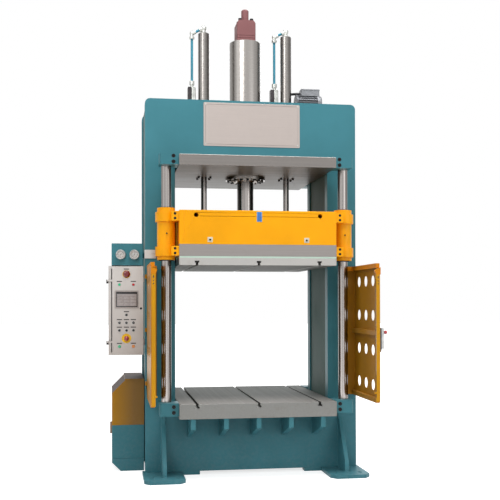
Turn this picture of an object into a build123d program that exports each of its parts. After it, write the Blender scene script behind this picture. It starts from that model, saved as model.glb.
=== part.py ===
from build123d import *
import os
from math import cos, radians, sin

# A four-column hydraulic press in a two-plate portal frame.
# Origin: centre of the machine at floor level. X runs to the right, Y to the back, Z up.
# All sizes are in millimetres.

# Clearances
seat_gap = 0.3          # between pieces that move against each other without a fit
running_fit = 0.05      # radial clearance of a shaft in its bush or gland
bolt_clearance = 1.0    # radial clearance of a bolt in its hole
pass_clearance = 3.0    # radial clearance of a rod that only passes through a plate

# Table and crown plate
table_width = 1500
table_depth = 1700
table_thickness = 140
table_top = 730
crown_plate_thickness = 100
crown_plate_bottom = 2960
plate_edge_chamfer = 3
table_rib_thickness = 44
table_rib_height = 220
table_rib_nose = 100
table_rib_inset = 130
table_rib_setback = 10

# Portal frame
window_gap = 10
window_width = table_width + 2 * window_gap
window_corner_radius = 8
upright_width = 290
frame_width = window_width + 2 * upright_width
frame_depth = 900
frame_top = 3660
portal_thickness = 100
portal_corner_radius = 50
wall_thickness = 15
wall_recess = 15
crown_cover_thickness = 20
crown_cover_drop = 20
crown_web_thickness = 40
crown_web_spacing = 600
bed_web_thickness = 40
bed_web_pitch = 380
bed_floor_thickness = 20

# T-slots
slot_pitch = 585
slot_neck_width = 24
slot_neck_depth = 24
slot_foot_width = 42
slot_foot_height = 18

# Guide columns and their clamps
column_diameter = 95
column_x = table_width / 2 + 110
column_y = frame_depth / 2 + 215
column_end_proud = 12
clamp_reach = 70
clamp_front_reach = 125
clamp_back_reach = 85
upper_clamp_height = 105
lower_clamp_height = 122
clamp_slit = 6
clamp_corner_radius = 22
upper_clamp_rise = 10
lower_clamp_rise = 5
clamp_bolt_x = 62
clamp_bolt_spacing = 54

# Feet
foot_thickness = 35
foot_outside = frame_width / 2 + 25
foot_inside = window_width / 2 - 70
foot_tongue_inside = window_width / 2 - 240
foot_front = column_y + 225
foot_corner_x = 50
foot_corner_y = 60
foot_back = frame_depth / 2 - 95
anchor_outer_x = frame_width / 2 - 50
anchor_inner_x = window_width / 2 - 5
anchor_y = foot_front - 125
anchor_hole_diameter = 42
gusset_thickness = 40
gusset_x = column_x + 19
gusset_toe_y = foot_front - 156
gusset_toe_height = 100
gusset_top = table_top - 130

# Slide
slide_rest_z = 2024
platen_thickness = 68
insulation_thickness = 16
bolster_thickness = 112
beam_height = 320
beam_wall = 40
beam_rib = 30
beam_cell_count_x = 4
beam_cell_count_y = 4
lifting_hole_diameter = 42
lifting_hole_x = table_width / 2 - 158
lifting_hole_drop = 46
lifting_passage_diameter = 60
stroke_down = 750
stroke_up = 250

# Guide housings on the slide
housing_diameter = 172
housing_below = 1
housing_above = 30
collar_diameter = 206
collar_height = 90
upper_collar_drop = 40
lower_collar_rise = 34
collar_neck_half_depth = 84
collar_ear_width = 72
collar_ear_reach = 175
bush_diameter = 120
bush_length = 110
collar_bolt_x = 72
collar_bolt_spacing = 44
nipple_diameter = 9
nipple_length = 16

# Main cylinder and ram
barrel_diameter = 320
barrel_bore = 250
barrel_cap = 90
barrel_edge = 6
flange_diameter = 410
flange_thickness = 26
flange_bolt_circle = 355
flange_bolt_count = 16
gland_diameter = 292
gland_thickness = 12
gland_nose_height = 60
gland_bolt_circle = 270
gland_bolt_count = 12
ram_diameter = 170
ram_foot_diameter = 230
ram_foot_height = 14
piston_height = 150
piston_margin = 50
valve_port_diameter = 90

# Prefill valve on the main cylinder
valve_size = 196
valve_height = 218
valve_corner = 24
valve_shoulder = 30
valve_groove_rises = (32, 58)
valve_groove = 4
valve_port_depth = 28
valve_cap_diameter = 77
valve_cap_height = 131
valve_screw_inset = 38
valve_screw_depth = 60

# Return cylinders beside the ram
side_cylinder_x = 430
side_barrel_diameter = 115
side_barrel_bore = 90
side_cap_height = 92
side_groove = 3
side_groove_height = 5
side_flange_diameter = 200
side_flange_thickness = 30
side_rod_diameter = 60
side_piston_height = 60
side_piston_margin = 86
side_gland_height = 60
side_bolt_circle = 172
side_bolt_count = 4
rod_nut_diameter = 96
rod_nut_height = 26

# Transfer pipes beside the return cylinders
pipe_diameter = 26
pipe_offset = 122
pipe_bottom = 3915
pipe_top_drop = 53
head_elbow_radius = 30
outer_elbow_radius = 23
elbow_rise = 56
outer_elbow_drop = 2
pipe_nut_diameter = 53
pipe_nut_height = 34
link_nut_reach = (50, 40)
block_width = 47
block_depth = 80
block_top = 3884
block_reach = 37
block_corner_radius = 14
block_side_plate = 33

# Circulation motor on the crown
motor_x = side_cylinder_x + 222
motor_axis_height = 112
motor_diameter = 184
motor_length = 240
fin_count = 20
fin_height = 9
fin_thickness = 5
terminal_box_length = 194
terminal_box_width = 110
terminal_box_height = 70
terminal_box_shift = 30
motor_foot_length = 170
motor_foot_width = 190
motor_foot_thickness = 14
conduit_diameter = 26
conduit_bend = 36
conduit_y = 90
conduit_x = side_cylinder_x + 18

# Name plate and sensor rail on the front portal
nameplate_width = 960
nameplate_height = 428
nameplate_bottom = 3210
nameplate_thickness = 3
rail_width = 112
rail_height = 84
rail_bottom = 2103
rail_thickness = 12
rail_sensor_size = 34

# Control cabinet on the left
cabinet_right = frame_width / 2 + 18
cabinet_left = cabinet_right + 332
cabinet_front = frame_depth / 2
cabinet_depth = 230
cabinet_bottom = 1170
cabinet_top = 2030
cabinet_sheet = 2
cabinet_bracket_size = 60
cabinet_bracket_gap = 10
cabinet_bracket_inset = 120
cabinet_lip = 26
door_thickness = 25
door_inset = 35
door_margin = 6
door_sheet = 2
hinge_barrel_radius = 9
hinge_barrel_length = 18
hinge_offset = 12
cabinet_hinge_z = (1290, 1880)
screen_left = cabinet_right + 273
screen_right = cabinet_right + 42
screen_bottom = 1620
screen_top = 1793
screen_bezel_thickness = 9
screen_frame = 13
screen_recess = 2
screen_case_inset = 16
screen_case_depth = 45
screen_cutout_inset = 14
button_column_x = (cabinet_right + 228, cabinet_right + 161, cabinet_right + 95)
button_ring_diameter = 31
button_ring_height = 6
button_cap_diameter = 23
button_cap_height = 6
button_stem_diameter = 16
button_stem_length = 34
button_travel = 4
top_row_z = 1850
single_row_z = 1558
selector_row_z = 1482
jog_row_z = 1409
lamp_row_z = 1254
estop_z = (1950, 1332)
estop_disc_diameter = (76, 92)
estop_disc_thickness = 2
estop_collar_diameter = 42
estop_collar_height = 16
estop_head_diameter = (68, 46)
estop_head_height = 22
estop_stem_diameter = 30
estop_travel = 6
estop_label_rise = 50
label_width = 50
label_height = 9
label_thickness = 1.2
label_rise = 31

# Gauge box above the cabinet
gauge_box_left = cabinet_right + 302
gauge_box_right = cabinet_right + 7
gauge_box_bottom = 2036
gauge_box_top = 2247
gauge_x = (cabinet_right + 216, cabinet_right + 86)
gauge_z = 2139
gauge_diameter = 94
gauge_case_depth = 34
gauge_glass_recess = 8
needle_length = 34
needle_width = 3.5
needle_thickness = 1.5
needle_hub_diameter = 9

# Oil tank beside the left upright
tank_right = frame_width / 2
tank_left = tank_right + 316
tank_front = 140
tank_length = 780
tank_split_z = 457
tank_top = 917
tank_foot_chamfer = 85
tank_foot_gap = 5
tank_skirt_height = 120
tank_wall = 4
cover_chamfer = 130
cover_lip_height = 12
cover_lip_proud = 4
latch_width = 24
latch_height = 117
latch_z = 373
latch_proud = 20
latch_setback = 30

# Side guards
guard_outside = column_x + 175
guard_depth = 35
guard_back = frame_depth / 2 + 30
guard_length = 820
guard_front = guard_back + guard_length
guard_bottom = 760
guard_top = 2030
guard_sheet = 3
guard_hole_diameter = 100
guard_hole_columns = 3
guard_hole_inset = 160
guard_hole_step = 230
guard_hole_rows = 4
guard_hole_first_z = 909
guard_hole_pitch = 322
guard_rail_width = 42
guard_stile_width = 95
guard_bracket_rise = 66
guard_bracket_tip_rise = 38
guard_bracket_width = 55
guard_hinge_x = guard_outside + 10
guard_hinge_y = frame_depth / 2 + 16
guard_hinge_radius = 8
guard_hinge_pin = 4
guard_knuckle = 36
guard_hinge_z = (880, 1395, 1910)
post_inside = guard_hinge_x - 77
post_thickness = 14
light_bar_width = 36
light_bar_depth = 34
light_bar_bottom = 772
light_bar_top = 1926
light_bar_window = 22
bar_foot_height = 16
bar_foot_rise = 74
bar_foot_reach = 14
bar_foot_width = 24
latch_body_y = guard_front - 38
latch_body_width = 52
latch_body_depth = 22
latch_body_bottom = 1222
latch_body_top = 1440
keeper_thickness = 24
keeper_bottom = 1250
knob_diameter = 35
knob_z = 1400

# Bolts
gland_bolt = 10
gland_head = 16
big_bolt = 24
big_head = 36
small_bolt = 16
small_head = 24
socket_share = 0.5
blind_wall = 30
bolt_end_gap = 16

# Heights and reaches that follow from the sizes above
window_bottom = table_top - table_thickness
window_top = crown_plate_bottom + crown_plate_thickness
crown_cover_top = frame_top - crown_cover_drop
platen_top = slide_rest_z + platen_thickness
bolster_bottom = platen_top + insulation_thickness
beam_bottom = bolster_bottom + bolster_thickness
beam_top = beam_bottom + beam_height
housing_bottom = platen_top - 12 - housing_below
housing_top = beam_top + housing_above
lower_clamp_bottom = table_top + lower_clamp_rise - lower_clamp_height
upper_clamp_bottom = crown_plate_bottom + upper_clamp_rise
column_bottom = lower_clamp_bottom
column_top = upper_clamp_bottom + upper_clamp_height + column_end_proud
piston_bottom = crown_plate_bottom + gland_nose_height + stroke_down + piston_margin
barrel_top = piston_bottom + piston_height + stroke_up + piston_margin + barrel_cap
side_piston_bottom = window_top + side_gland_height + stroke_down + side_piston_margin
side_piston_top = side_piston_bottom + side_piston_height
side_barrel_top = side_piston_top + stroke_up + side_piston_margin + side_cap_height
elbow_centre_z = side_barrel_top + elbow_rise
outer_elbow_z = side_barrel_top - outer_elbow_drop
pipe_top = side_barrel_top - pipe_top_drop
clamp_hole_depth = clamp_front_reach + clamp_back_reach - blind_wall
collar_front = column_y + collar_ear_reach
collar_hole_depth = collar_front - column_y + collar_neck_half_depth - blind_wall
wall_inner_x = window_width / 2 + wall_recess
wall_outer_x = frame_width / 2 - wall_recess
inner_depth = frame_depth - 2 * portal_thickness


def block(x0, x1, y0, y1, z0, z1):
    """A box between two corners."""
    centre = Pos((x0 + x1) / 2, (y0 + y1) / 2, (z0 + z1) / 2)
    return centre * Box(abs(x1 - x0), abs(y1 - y0), abs(z1 - z0))


def upright(x, y, z0, z1, radius):
    """A vertical cylinder."""
    return Pos(x, y, (z0 + z1) / 2) * Cylinder(radius, z1 - z0)


def crosswise(x, z, y0, y1, radius):
    """A cylinder along Y."""
    return Pos(x, (y0 + y1) / 2, z) * Rot(90, 0, 0) * Cylinder(radius, abs(y1 - y0))


def lengthwise(y, z, x0, x1, radius):
    """A cylinder along X."""
    return Pos((x0 + x1) / 2, y, z) * Rot(0, 90, 0) * Cylinder(radius, abs(x1 - x0))


def front_profile(sketch, y_front, thickness):
    """A sketch in X and Z, thickened from its front face towards the back."""
    plane = Plane(origin=(0, y_front + thickness, 0), x_dir=(1, 0, 0), z_dir=(0, -1, 0))
    return extrude(plane * sketch, thickness)


def side_profile(sketch, x_left, thickness):
    """A sketch in Y and Z, thickened to the right."""
    plane = Plane(origin=(x_left, 0, 0), x_dir=(0, 1, 0), z_dir=(1, 0, 0))
    return extrude(plane * sketch, thickness)


def outline(*points):
    """A filled polygon through the points."""
    return make_face(Polyline(*points, close=True))


def turned(*points):
    """A solid of revolution about Z from a radius and height outline."""
    return revolve(Plane.XZ * outline(*points), Axis.Z)


def flip_x(shape):
    return mirror(shape, about=Plane.YZ)


def flip_y(shape):
    return mirror(shape, about=Plane.XZ)


def both_sides(shape):
    return [shape, flip_x(shape)]


def four_corners(shape):
    """The same piece at the four corners of the machine, drawn at front right."""
    return [shape, flip_x(shape), flip_y(shape), flip_y(flip_x(shape))]


def ring_places(radius, count, x=0, y=0, start=0):
    """Evenly spaced places on a circle."""
    turns = [radians(start + 360 * i / count) for i in range(count)]
    return [(x + radius * cos(a), y + radius * sin(a)) for a in turns]


def cap_screw(shank_radius, shank_length, head_radius):
    """A socket head screw standing on Z = 0 with its head up."""
    head_height = 2 * shank_radius
    socket_depth = head_height * socket_share
    screw = Pos(0, 0, head_height / 2) * Cylinder(head_radius, head_height)
    screw += Pos(0, 0, -shank_length / 2) * Cylinder(shank_radius, shank_length)
    socket = extrude(RegularPolygon(head_radius * socket_share, 6), socket_depth)
    return screw - Pos(0, 0, head_height - socket_depth) * socket


def t_slot(length):
    """The space of one T-slot along Y, with its mouth at Z = 0 and its foot below."""
    neck = slot_neck_width / 2
    foot = slot_foot_width / 2
    low = -slot_neck_depth - slot_foot_height
    section = outline(
        (-neck, 1), (neck, 1), (neck, -slot_neck_depth), (foot, -slot_neck_depth),
        (foot, low), (-foot, low), (-foot, -slot_neck_depth), (-neck, -slot_neck_depth),
    )
    return front_profile(section, -length / 2, length)


def slot_row():
    """The three T-slots of a working face."""
    slot = t_slot(table_depth + 2)
    return [Pos(x, 0, 0) * slot for x in (-slot_pitch, 0, slot_pitch)]


def working_plate(thickness):
    """A thick plate under Z = 0 with broken upper edges."""
    plate = Pos(0, 0, -thickness / 2) * Box(table_width, table_depth, thickness)
    return chamfer(plate.faces().sort_by(Axis.Z)[-1].edges(), plate_edge_chamfer)


def portal_plate():
    """One flame-cut portal plate, drawn as the front one."""
    height = frame_top - foot_thickness
    plate = Pos(0, foot_thickness + height / 2) * Rectangle(frame_width, height)
    plate = fillet(plate.vertices().sort_by(Axis.Y)[-2:], portal_corner_radius)
    window_height = window_top - window_bottom
    window = RectangleRounded(window_width, window_height, window_corner_radius)
    plate -= Pos(0, window_bottom + window_height / 2) * window
    return front_profile(plate, -frame_depth / 2, portal_thickness)


def upright_walls():
    """The sheets that close both uprights between the portal plates."""
    half = inner_depth / 2
    top = crown_cover_top - crown_cover_thickness
    inner = block(wall_inner_x, wall_inner_x + wall_thickness, -half, half, foot_thickness, top)
    outer = block(wall_outer_x - wall_thickness, wall_outer_x, -half, half, foot_thickness, top)
    return both_sides(inner) + both_sides(outer)


def crown_box():
    """The welded crown between the portal plates: a cover plate on two webs."""
    half = inner_depth / 2
    cover_bottom = crown_cover_top - crown_cover_thickness
    box = block(-wall_outer_x, wall_outer_x, -half, half, cover_bottom, crown_cover_top)
    for side in (-1, 1):
        web_x = side * crown_web_spacing
        web_left = web_x - crown_web_thickness / 2
        box += block(web_left, web_left + crown_web_thickness, -half, half, window_top, cover_bottom)
    box -= upright(0, 0, cover_bottom - 1, crown_cover_top + 1, barrel_diameter / 2 + pass_clearance)
    for x in (-side_cylinder_x, side_cylinder_x):
        radius = side_barrel_diameter / 2 + pass_clearance
        box -= upright(x, 0, cover_bottom - 1, crown_cover_top + 1, radius)
    return box


def bed_box():
    """The welded bed between the portal plates that carries the table."""
    half = inner_depth / 2
    box = block(-wall_inner_x, wall_inner_x, -half, half, foot_thickness,
                foot_thickness + bed_floor_thickness)
    for step in (-1, 0, 1):
        web_left = step * bed_web_pitch - bed_web_thickness / 2
        web_floor = foot_thickness + bed_floor_thickness
        box += block(web_left, web_left + bed_web_thickness, -half, half, web_floor, window_bottom)
    return box


def crown_plate():
    """The ground plate under the crown that holds the cylinders and the columns."""
    plate = Pos(0, 0, crown_plate_bottom + crown_plate_thickness) * working_plate(crown_plate_thickness)
    low = crown_plate_bottom - 1
    high = window_top + 1
    plate -= upright(0, 0, low, high, barrel_diameter / 2 + seat_gap)
    for x in (-side_cylinder_x, side_cylinder_x):
        plate -= upright(x, 0, low, high, side_rod_diameter / 2 + pass_clearance)
        for px, py in ring_places(side_bolt_circle / 2, side_bolt_count, x, 0, 45):
            plate -= upright(px, py, low, high, small_bolt / 2 + bolt_clearance)
    for px, py in ring_places(flange_bolt_circle / 2, flange_bolt_count):
        plate -= upright(px, py, low, high, small_bolt / 2 + bolt_clearance)
    return plate


def table():
    """The lower working table with three T-slots."""
    return Pos(0, 0, table_top) * (working_plate(table_thickness) - slot_row())


def table_ribs():
    """Brackets under the table's overhang, welded to the portal plates."""
    back = frame_depth / 2
    tip = table_depth / 2 - table_rib_setback
    section = outline(
        (-back, window_bottom), (-tip, window_bottom),
        (-tip, window_bottom - table_rib_nose), (-back, window_bottom - table_rib_height),
    )
    pitch = (table_width - 2 * table_rib_inset) / 4
    ribs = []
    for step in range(-2, 3):
        rib = side_profile(section, step * pitch - table_rib_thickness / 2, table_rib_thickness)
        ribs += [rib, flip_y(rib)]
    return ribs


def guide_columns():
    """Four ground columns with chamfered ends."""
    bar = upright(column_x, -column_y, column_bottom, column_top, column_diameter / 2)
    bar = chamfer(bar.edges().filter_by(GeomType.CIRCLE), 3)
    return four_corners(bar)


def clamp_block(height):
    """One pinch clamp for a column, standing on Z = 0 at front right."""
    x0 = table_width / 2
    x1 = column_x + clamp_reach
    front = -column_y - clamp_front_reach
    body = block(x0, x1, front, -column_y + clamp_back_reach, 0, height)
    outer = body.edges().filter_by(Axis.Z).sort_by(Axis.X)[-2:]
    body = fillet(outer, clamp_corner_radius)
    body -= upright(column_x, -column_y, -1, height + 1, column_diameter / 2)
    slit_end = column_x - clamp_bolt_x - big_head / 2 - 8
    body -= block(slit_end, column_x, -column_y - clamp_slit / 2, -column_y + clamp_slit / 2,
                  -1, height + 1)
    for z in bolt_heights(height, clamp_bolt_spacing):
        x = column_x - clamp_bolt_x
        body -= crosswise(x, z, front - 1, front + big_bolt, big_head / 2 + bolt_clearance)
        body -= crosswise(x, z, front, front + clamp_hole_depth, big_bolt / 2 + bolt_clearance)
    return body


def bolt_heights(height, spacing):
    """Heights of the two pinch bolts of a clamp."""
    return (height / 2 - spacing / 2, height / 2 + spacing / 2)


def column_clamps():
    """Upper and lower clamps of the four columns."""
    low = Pos(0, 0, lower_clamp_bottom) * clamp_block(lower_clamp_height)
    high = Pos(0, 0, upper_clamp_bottom) * clamp_block(upper_clamp_height)
    return four_corners(low) + four_corners(high)


def foot_plate():
    """One foot at front right: chamfered base plate and its gusset to the portal plate."""
    x1 = foot_outside
    plan = outline(
        (foot_inside, -foot_front + foot_corner_y), (foot_inside + foot_corner_x, -foot_front),
        (x1 - foot_corner_x, -foot_front), (x1, -foot_front + foot_corner_y), (x1, -foot_back),
        (foot_tongue_inside, -foot_back), (foot_tongue_inside, -frame_depth / 2),
        (foot_inside, -frame_depth / 2),
    )
    foot = extrude(plan, foot_thickness)
    for x in (anchor_inner_x, anchor_outer_x):
        foot -= upright(x, -anchor_y, -1, foot_thickness + 1, anchor_hole_diameter / 2)
    section = outline(
        (-frame_depth / 2, foot_thickness), (-gusset_toe_y, foot_thickness),
        (-gusset_toe_y, foot_thickness + gusset_toe_height), (-frame_depth / 2, gusset_top),
    )
    foot += side_profile(section, gusset_x - gusset_thickness / 2, gusset_thickness)
    return foot


def foot_plates():
    return four_corners(foot_plate())


def clamp_screws(height):
    """Pinch bolts of one clamp that stands on Z = 0, at front right."""
    screws = []
    front = -column_y - clamp_front_reach
    for z in bolt_heights(height, clamp_bolt_spacing):
        screw = cap_screw(big_bolt / 2, clamp_hole_depth - big_bolt - bolt_end_gap, big_head / 2)
        place = Pos(column_x - clamp_bolt_x, front + big_bolt, z) * Rot(90, 0, 0)
        screws.append(place * screw)
    return screws


def frame_bolts():
    """The black screws of the clamps, the cylinder flange and the valve."""
    screws = []
    for screw in clamp_screws(lower_clamp_height):
        screws += four_corners(Pos(0, 0, lower_clamp_bottom) * screw)
    for screw in clamp_screws(upper_clamp_height):
        screws += four_corners(Pos(0, 0, upper_clamp_bottom) * screw)
    flange_bottom = crown_plate_bottom - flange_thickness
    for x, y in ring_places(flange_bolt_circle / 2, flange_bolt_count):
        screw = cap_screw(small_bolt / 2, flange_thickness + 40, small_head / 2)
        screws.append(Pos(x, y, flange_bottom) * Rot(180, 0, 0) * screw)
    gland_bottom = flange_bottom - gland_thickness
    for x, y in ring_places(gland_bolt_circle / 2, gland_bolt_count):
        screw = cap_screw(gland_bolt / 2, gland_thickness + 30, gland_head / 2)
        screws.append(Pos(x, y, gland_bottom) * Rot(180, 0, 0) * screw)
    for side in (-1, 1):
        for x, y in ring_places(side_bolt_circle / 2, side_bolt_count, side * side_cylinder_x, 0, 45):
            screw = cap_screw(small_bolt / 2, crown_plate_thickness + 10, small_head / 2)
            screws.append(Pos(x, y, crown_plate_bottom) * Rot(180, 0, 0) * screw)
    valve_top = barrel_top + valve_height
    for x, y in valve_screw_places():
        screw = cap_screw(big_bolt / 2, valve_screw_depth - bolt_end_gap, big_head / 2)
        screws.append(Pos(x, y, valve_top) * screw)
    return screws


def main_cylinder():
    """Barrel with its thrust flange under the crown plate and a closed head."""
    outer = barrel_diameter / 2
    bore = barrel_bore / 2
    low = crown_plate_bottom - flange_thickness
    bore_top = barrel_top - barrel_cap
    barrel = turned(
        (bore, low), (flange_diameter / 2, low), (flange_diameter / 2, crown_plate_bottom),
        (outer, crown_plate_bottom), (outer, barrel_top - barrel_edge),
        (outer - barrel_edge, barrel_top), (valve_port_diameter / 2, barrel_top),
        (valve_port_diameter / 2, bore_top), (bore, bore_top),
    )
    for x, y in ring_places(flange_bolt_circle / 2, flange_bolt_count):
        barrel -= upright(x, y, low - 1, crown_plate_bottom + 1, small_bolt / 2 + bolt_clearance)
    for x, y in ring_places(gland_bolt_circle / 2, gland_bolt_count):
        barrel -= upright(x, y, low - 1, low + 45, gland_bolt / 2 + bolt_clearance)
    return barrel


def gland_ring():
    """The ring that closes the barrel round the ram."""
    bore = ram_diameter / 2 + running_fit
    face = crown_plate_bottom - flange_thickness
    nose = barrel_bore / 2
    ring = turned(
        (bore, face - gland_thickness), (gland_diameter / 2, face - gland_thickness),
        (gland_diameter / 2, face), (nose, face), (nose, crown_plate_bottom + gland_nose_height),
        (bore, crown_plate_bottom + gland_nose_height),
    )
    for x, y in ring_places(gland_bolt_circle / 2, gland_bolt_count):
        ring -= upright(x, y, face - gland_thickness - 1, face + 1, gland_bolt / 2 + bolt_clearance)
    return ring


def prefill_valve():
    """The valve block on the cylinder head, with its round cap."""
    half = valve_size / 2
    top = barrel_top + valve_height
    front = outline(
        (-half, barrel_top), (half, barrel_top), (half, top - valve_shoulder),
        (half - valve_corner, top), (-half + valve_corner, top), (-half, top - valve_shoulder),
    )
    body = front_profile(front, -half, valve_size)
    body = fillet(body.edges().filter_by(Axis.Z).filter_by(lambda e: e.length > valve_height / 2), 12)
    for rise in valve_groove_rises:
        low = barrel_top + rise
        ring = block(-half - 1, half + 1, -half - 1, half + 1, low, low + valve_groove)
        body -= ring - block(-half + valve_groove, half - valve_groove,
                             -half + valve_groove, half - valve_groove, low, low + valve_groove)
    port = valve_port_diameter / 2
    body -= upright(0, 0, barrel_top - 1, barrel_top + valve_port_depth, port)
    for x, y in valve_screw_places():
        body -= upright(x, y, top - valve_screw_depth, top + 1, big_bolt / 2 + bolt_clearance)
    radius = valve_cap_diameter / 2
    cap = turned(
        (0, top), (radius, top), (radius, top + valve_cap_height - 12),
        (radius - 12, top + valve_cap_height), (0, top + valve_cap_height),
    )
    return [body, cap]


def valve_screw_places():
    """The four screws in the valve block's top."""
    reach = valve_size / 2 - valve_screw_inset
    return [(x, y) for x in (-reach, reach) for y in (-reach, reach)]


def side_barrel():
    """One return cylinder, standing on the crown plate at X = 0."""
    outer = side_barrel_diameter / 2
    bore = side_barrel_bore / 2
    gland = side_rod_diameter / 2 + running_fit
    low = window_top
    cap_low = side_barrel_top - side_cap_height
    groove = cap_low + side_groove_height
    flange = side_flange_diameter / 2
    barrel = turned(
        (gland, low), (flange, low), (flange, low + side_flange_thickness),
        (outer, low + side_flange_thickness), (outer, cap_low), (outer - side_groove, cap_low),
        (outer - side_groove, groove), (outer, groove), (outer, side_barrel_top - 5),
        (outer - 5, side_barrel_top), (0, side_barrel_top), (0, cap_low), (bore, cap_low),
        (bore, low + side_gland_height), (gland, low + side_gland_height),
    )
    for x, y in ring_places(side_bolt_circle / 2, side_bolt_count, 0, 0, 45):
        barrel -= upright(x, y, low - 1, low + side_flange_thickness + 1, small_bolt / 2 + bolt_clearance)
    return barrel


def side_cylinders():
    barrel = side_barrel()
    return [Pos(-side_cylinder_x, 0, 0) * barrel, Pos(side_cylinder_x, 0, 0) * barrel]


def elbow_set():
    """Fittings from a return cylinder's head to its pipe, with the cylinder at X = 0."""
    neck = head_elbow_radius - 8
    nut = pipe_nut_diameter / 2
    head = turned(
        (0, side_barrel_top), (head_elbow_radius, side_barrel_top),
        (head_elbow_radius, side_barrel_top + 14), (neck, side_barrel_top + 14),
        (neck, elbow_centre_z), (0, elbow_centre_z),
    )
    head += Pos(0, 0, elbow_centre_z) * Sphere(head_elbow_radius)
    low = Pos(-pipe_offset, 0, outer_elbow_z) * Sphere(outer_elbow_radius)
    low += upright(-pipe_offset, 0, pipe_top, outer_elbow_z, outer_elbow_radius - 4)
    low += upright(-pipe_offset, 0, pipe_top - 8, pipe_top + 14, nut)
    slope = link_slope()
    for start, reach in ((Vector(0, 0, elbow_centre_z), link_nut_reach[0]),
                         (Vector(0, 0, elbow_centre_z) + slope, -link_nut_reach[1])):
        along = slope.normalized() * reach
        plane = Plane(origin=start, z_dir=along.normalized())
        collar_part = extrude(plane * Circle(nut - 4), along.length)
        if reach > 0:
            head += collar_part
        else:
            low += collar_part
    return [head, low - upright(-pipe_offset, 0, pipe_top - 9, pipe_top, pipe_diameter / 2)]


def link_slope():
    """The way from the head elbow's centre to the outer elbow's."""
    return Vector(-pipe_offset, 0, outer_elbow_z - elbow_centre_z)


def pipe_block():
    """The valve block and nut at a pipe's lower end, with the cylinder at X = 0."""
    right = -pipe_offset + block_reach
    left = right - block_width
    half = block_depth / 2
    body = block(left, right, -half, half, crown_cover_top, block_top)
    body = fillet(body.edges().filter_by(Axis.Z), block_corner_radius)
    body = chamfer(body.faces().sort_by(Axis.Z)[-1].edges(), 6)
    nut = upright(-pipe_offset, 0, block_top, pipe_bottom, pipe_diameter / 2 + 3)
    nut += upright(-pipe_offset, 0, pipe_bottom - 4, pipe_bottom + pipe_nut_height, pipe_nut_diameter / 2)
    nut -= upright(-pipe_offset, 0, pipe_bottom, pipe_bottom + pipe_nut_height + 1, pipe_diameter / 2)
    side = block(left - block_side_plate, left, -half, half, crown_cover_top, block_top)
    return [body, nut, side]


def at_both_cylinders(shapes):
    """Copies for both return cylinders. The pipe stands to the left of each."""
    return [Pos(x, 0, 0) * s for x in (-side_cylinder_x, side_cylinder_x) for s in shapes]


def hose_fittings():
    return at_both_cylinders(elbow_set() + pipe_block())


def transfer_pipes():
    """A straight pipe and the short sloping one between the elbows, for each cylinder."""
    riser = upright(-pipe_offset, 0, pipe_bottom, pipe_top, pipe_diameter / 2)
    slope = link_slope()
    link_plane = Plane(origin=(0, 0, elbow_centre_z), z_dir=slope.normalized())
    link = extrude(link_plane * Circle(pipe_diameter / 2), slope.length)
    for elbow in elbow_set():
        link -= elbow
    return at_both_cylinders([riser, link])


def circulation_motor():
    """The finned motor of the oil circulation set, lying along X on the crown."""
    axis_z = crown_cover_top + motor_axis_height
    x0 = motor_x - motor_length / 2
    x1 = motor_x + motor_length / 2
    core = motor_diameter / 2 - fin_height
    body = lengthwise(0, axis_z, x0 + 18, x1 - 18, core)
    for end in (x0, x1 - 18):
        body += lengthwise(0, axis_z, end, end + 18, motor_diameter / 2)
    fin = block(x0 + 18, x1 - 18, -fin_thickness / 2, fin_thickness / 2, core - 2, core + fin_height)
    for i in range(fin_count):
        body += Pos(0, 0, axis_z) * Rot(360 * i / fin_count, 0, 0) * fin
    foot_x = motor_foot_length / 2
    foot_y = motor_foot_width / 2
    feet = block(motor_x - foot_x, motor_x + foot_x, -foot_y, foot_y,
                 crown_cover_top, crown_cover_top + motor_foot_thickness)
    for side in (-1, 1):
        y = side * (foot_y - 42)
        feet += block(motor_x - foot_x, motor_x + foot_x, y - 8, y + 8,
                      crown_cover_top + motor_foot_thickness, axis_z - core * 0.7)
    box_low = axis_z + core - 6
    box_x0 = motor_x - terminal_box_length / 2 + terminal_box_shift
    terminal = block(box_x0, box_x0 + terminal_box_length, -terminal_box_width / 2, terminal_box_width / 2,
                     box_low, box_low + terminal_box_height)
    terminal = fillet(terminal.edges().filter_by(Axis.Z), 8)
    return body + feet + terminal


def motor_conduit():
    """The cable conduit from the motor's terminal box down into the crown."""
    axis_z = crown_cover_top + motor_axis_height
    z = axis_z + motor_diameter / 2 - fin_height - 6 + terminal_box_height / 2
    box_x0 = motor_x - terminal_box_length / 2 + terminal_box_shift
    y_box = terminal_box_width / 2 - 25
    route = FilletPolyline(
        (box_x0, y_box, z), (box_x0 - conduit_bend, y_box, z), (conduit_x, conduit_y, z),
        (conduit_x, conduit_y, crown_cover_top), radius=conduit_bend,
    )
    start = Plane(origin=route @ 0, z_dir=route % 0)
    pipe = sweep(start * Circle(conduit_diameter / 2), path=route)
    return pipe


def nameplate():
    """A bare stainless plate with rounded corners."""
    face = RectangleRounded(nameplate_width, nameplate_height, 12)
    face = Pos(0, nameplate_bottom + nameplate_height / 2) * face
    for x in (-nameplate_width / 2 + 20, nameplate_width / 2 - 20):
        for z in (nameplate_bottom + 20, nameplate_bottom + nameplate_height - 20):
            face -= Pos(x, z) * Circle(4)
    return front_profile(face, -frame_depth / 2 - nameplate_thickness, nameplate_thickness)


def limit_rail():
    """The stainless plate of the slide's position sensor, at the left edge of the portal."""
    x0 = -frame_width / 2 - 6
    front = -frame_depth / 2
    rail = block(x0, x0 + rail_width, front - rail_thickness, front, rail_bottom, rail_bottom + rail_height)
    rail = fillet(rail.edges().filter_by(Axis.Y), 6)
    for z in (rail_bottom + 22, rail_bottom + rail_height - 22):
        x = x0 + rail_width - rail_sensor_size / 2 - 8
        half = rail_sensor_size / 2
        rail += block(x - half, x + half, front - rail_thickness - 10, front - rail_thickness, z - 9, z + 9)
    return rail


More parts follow.
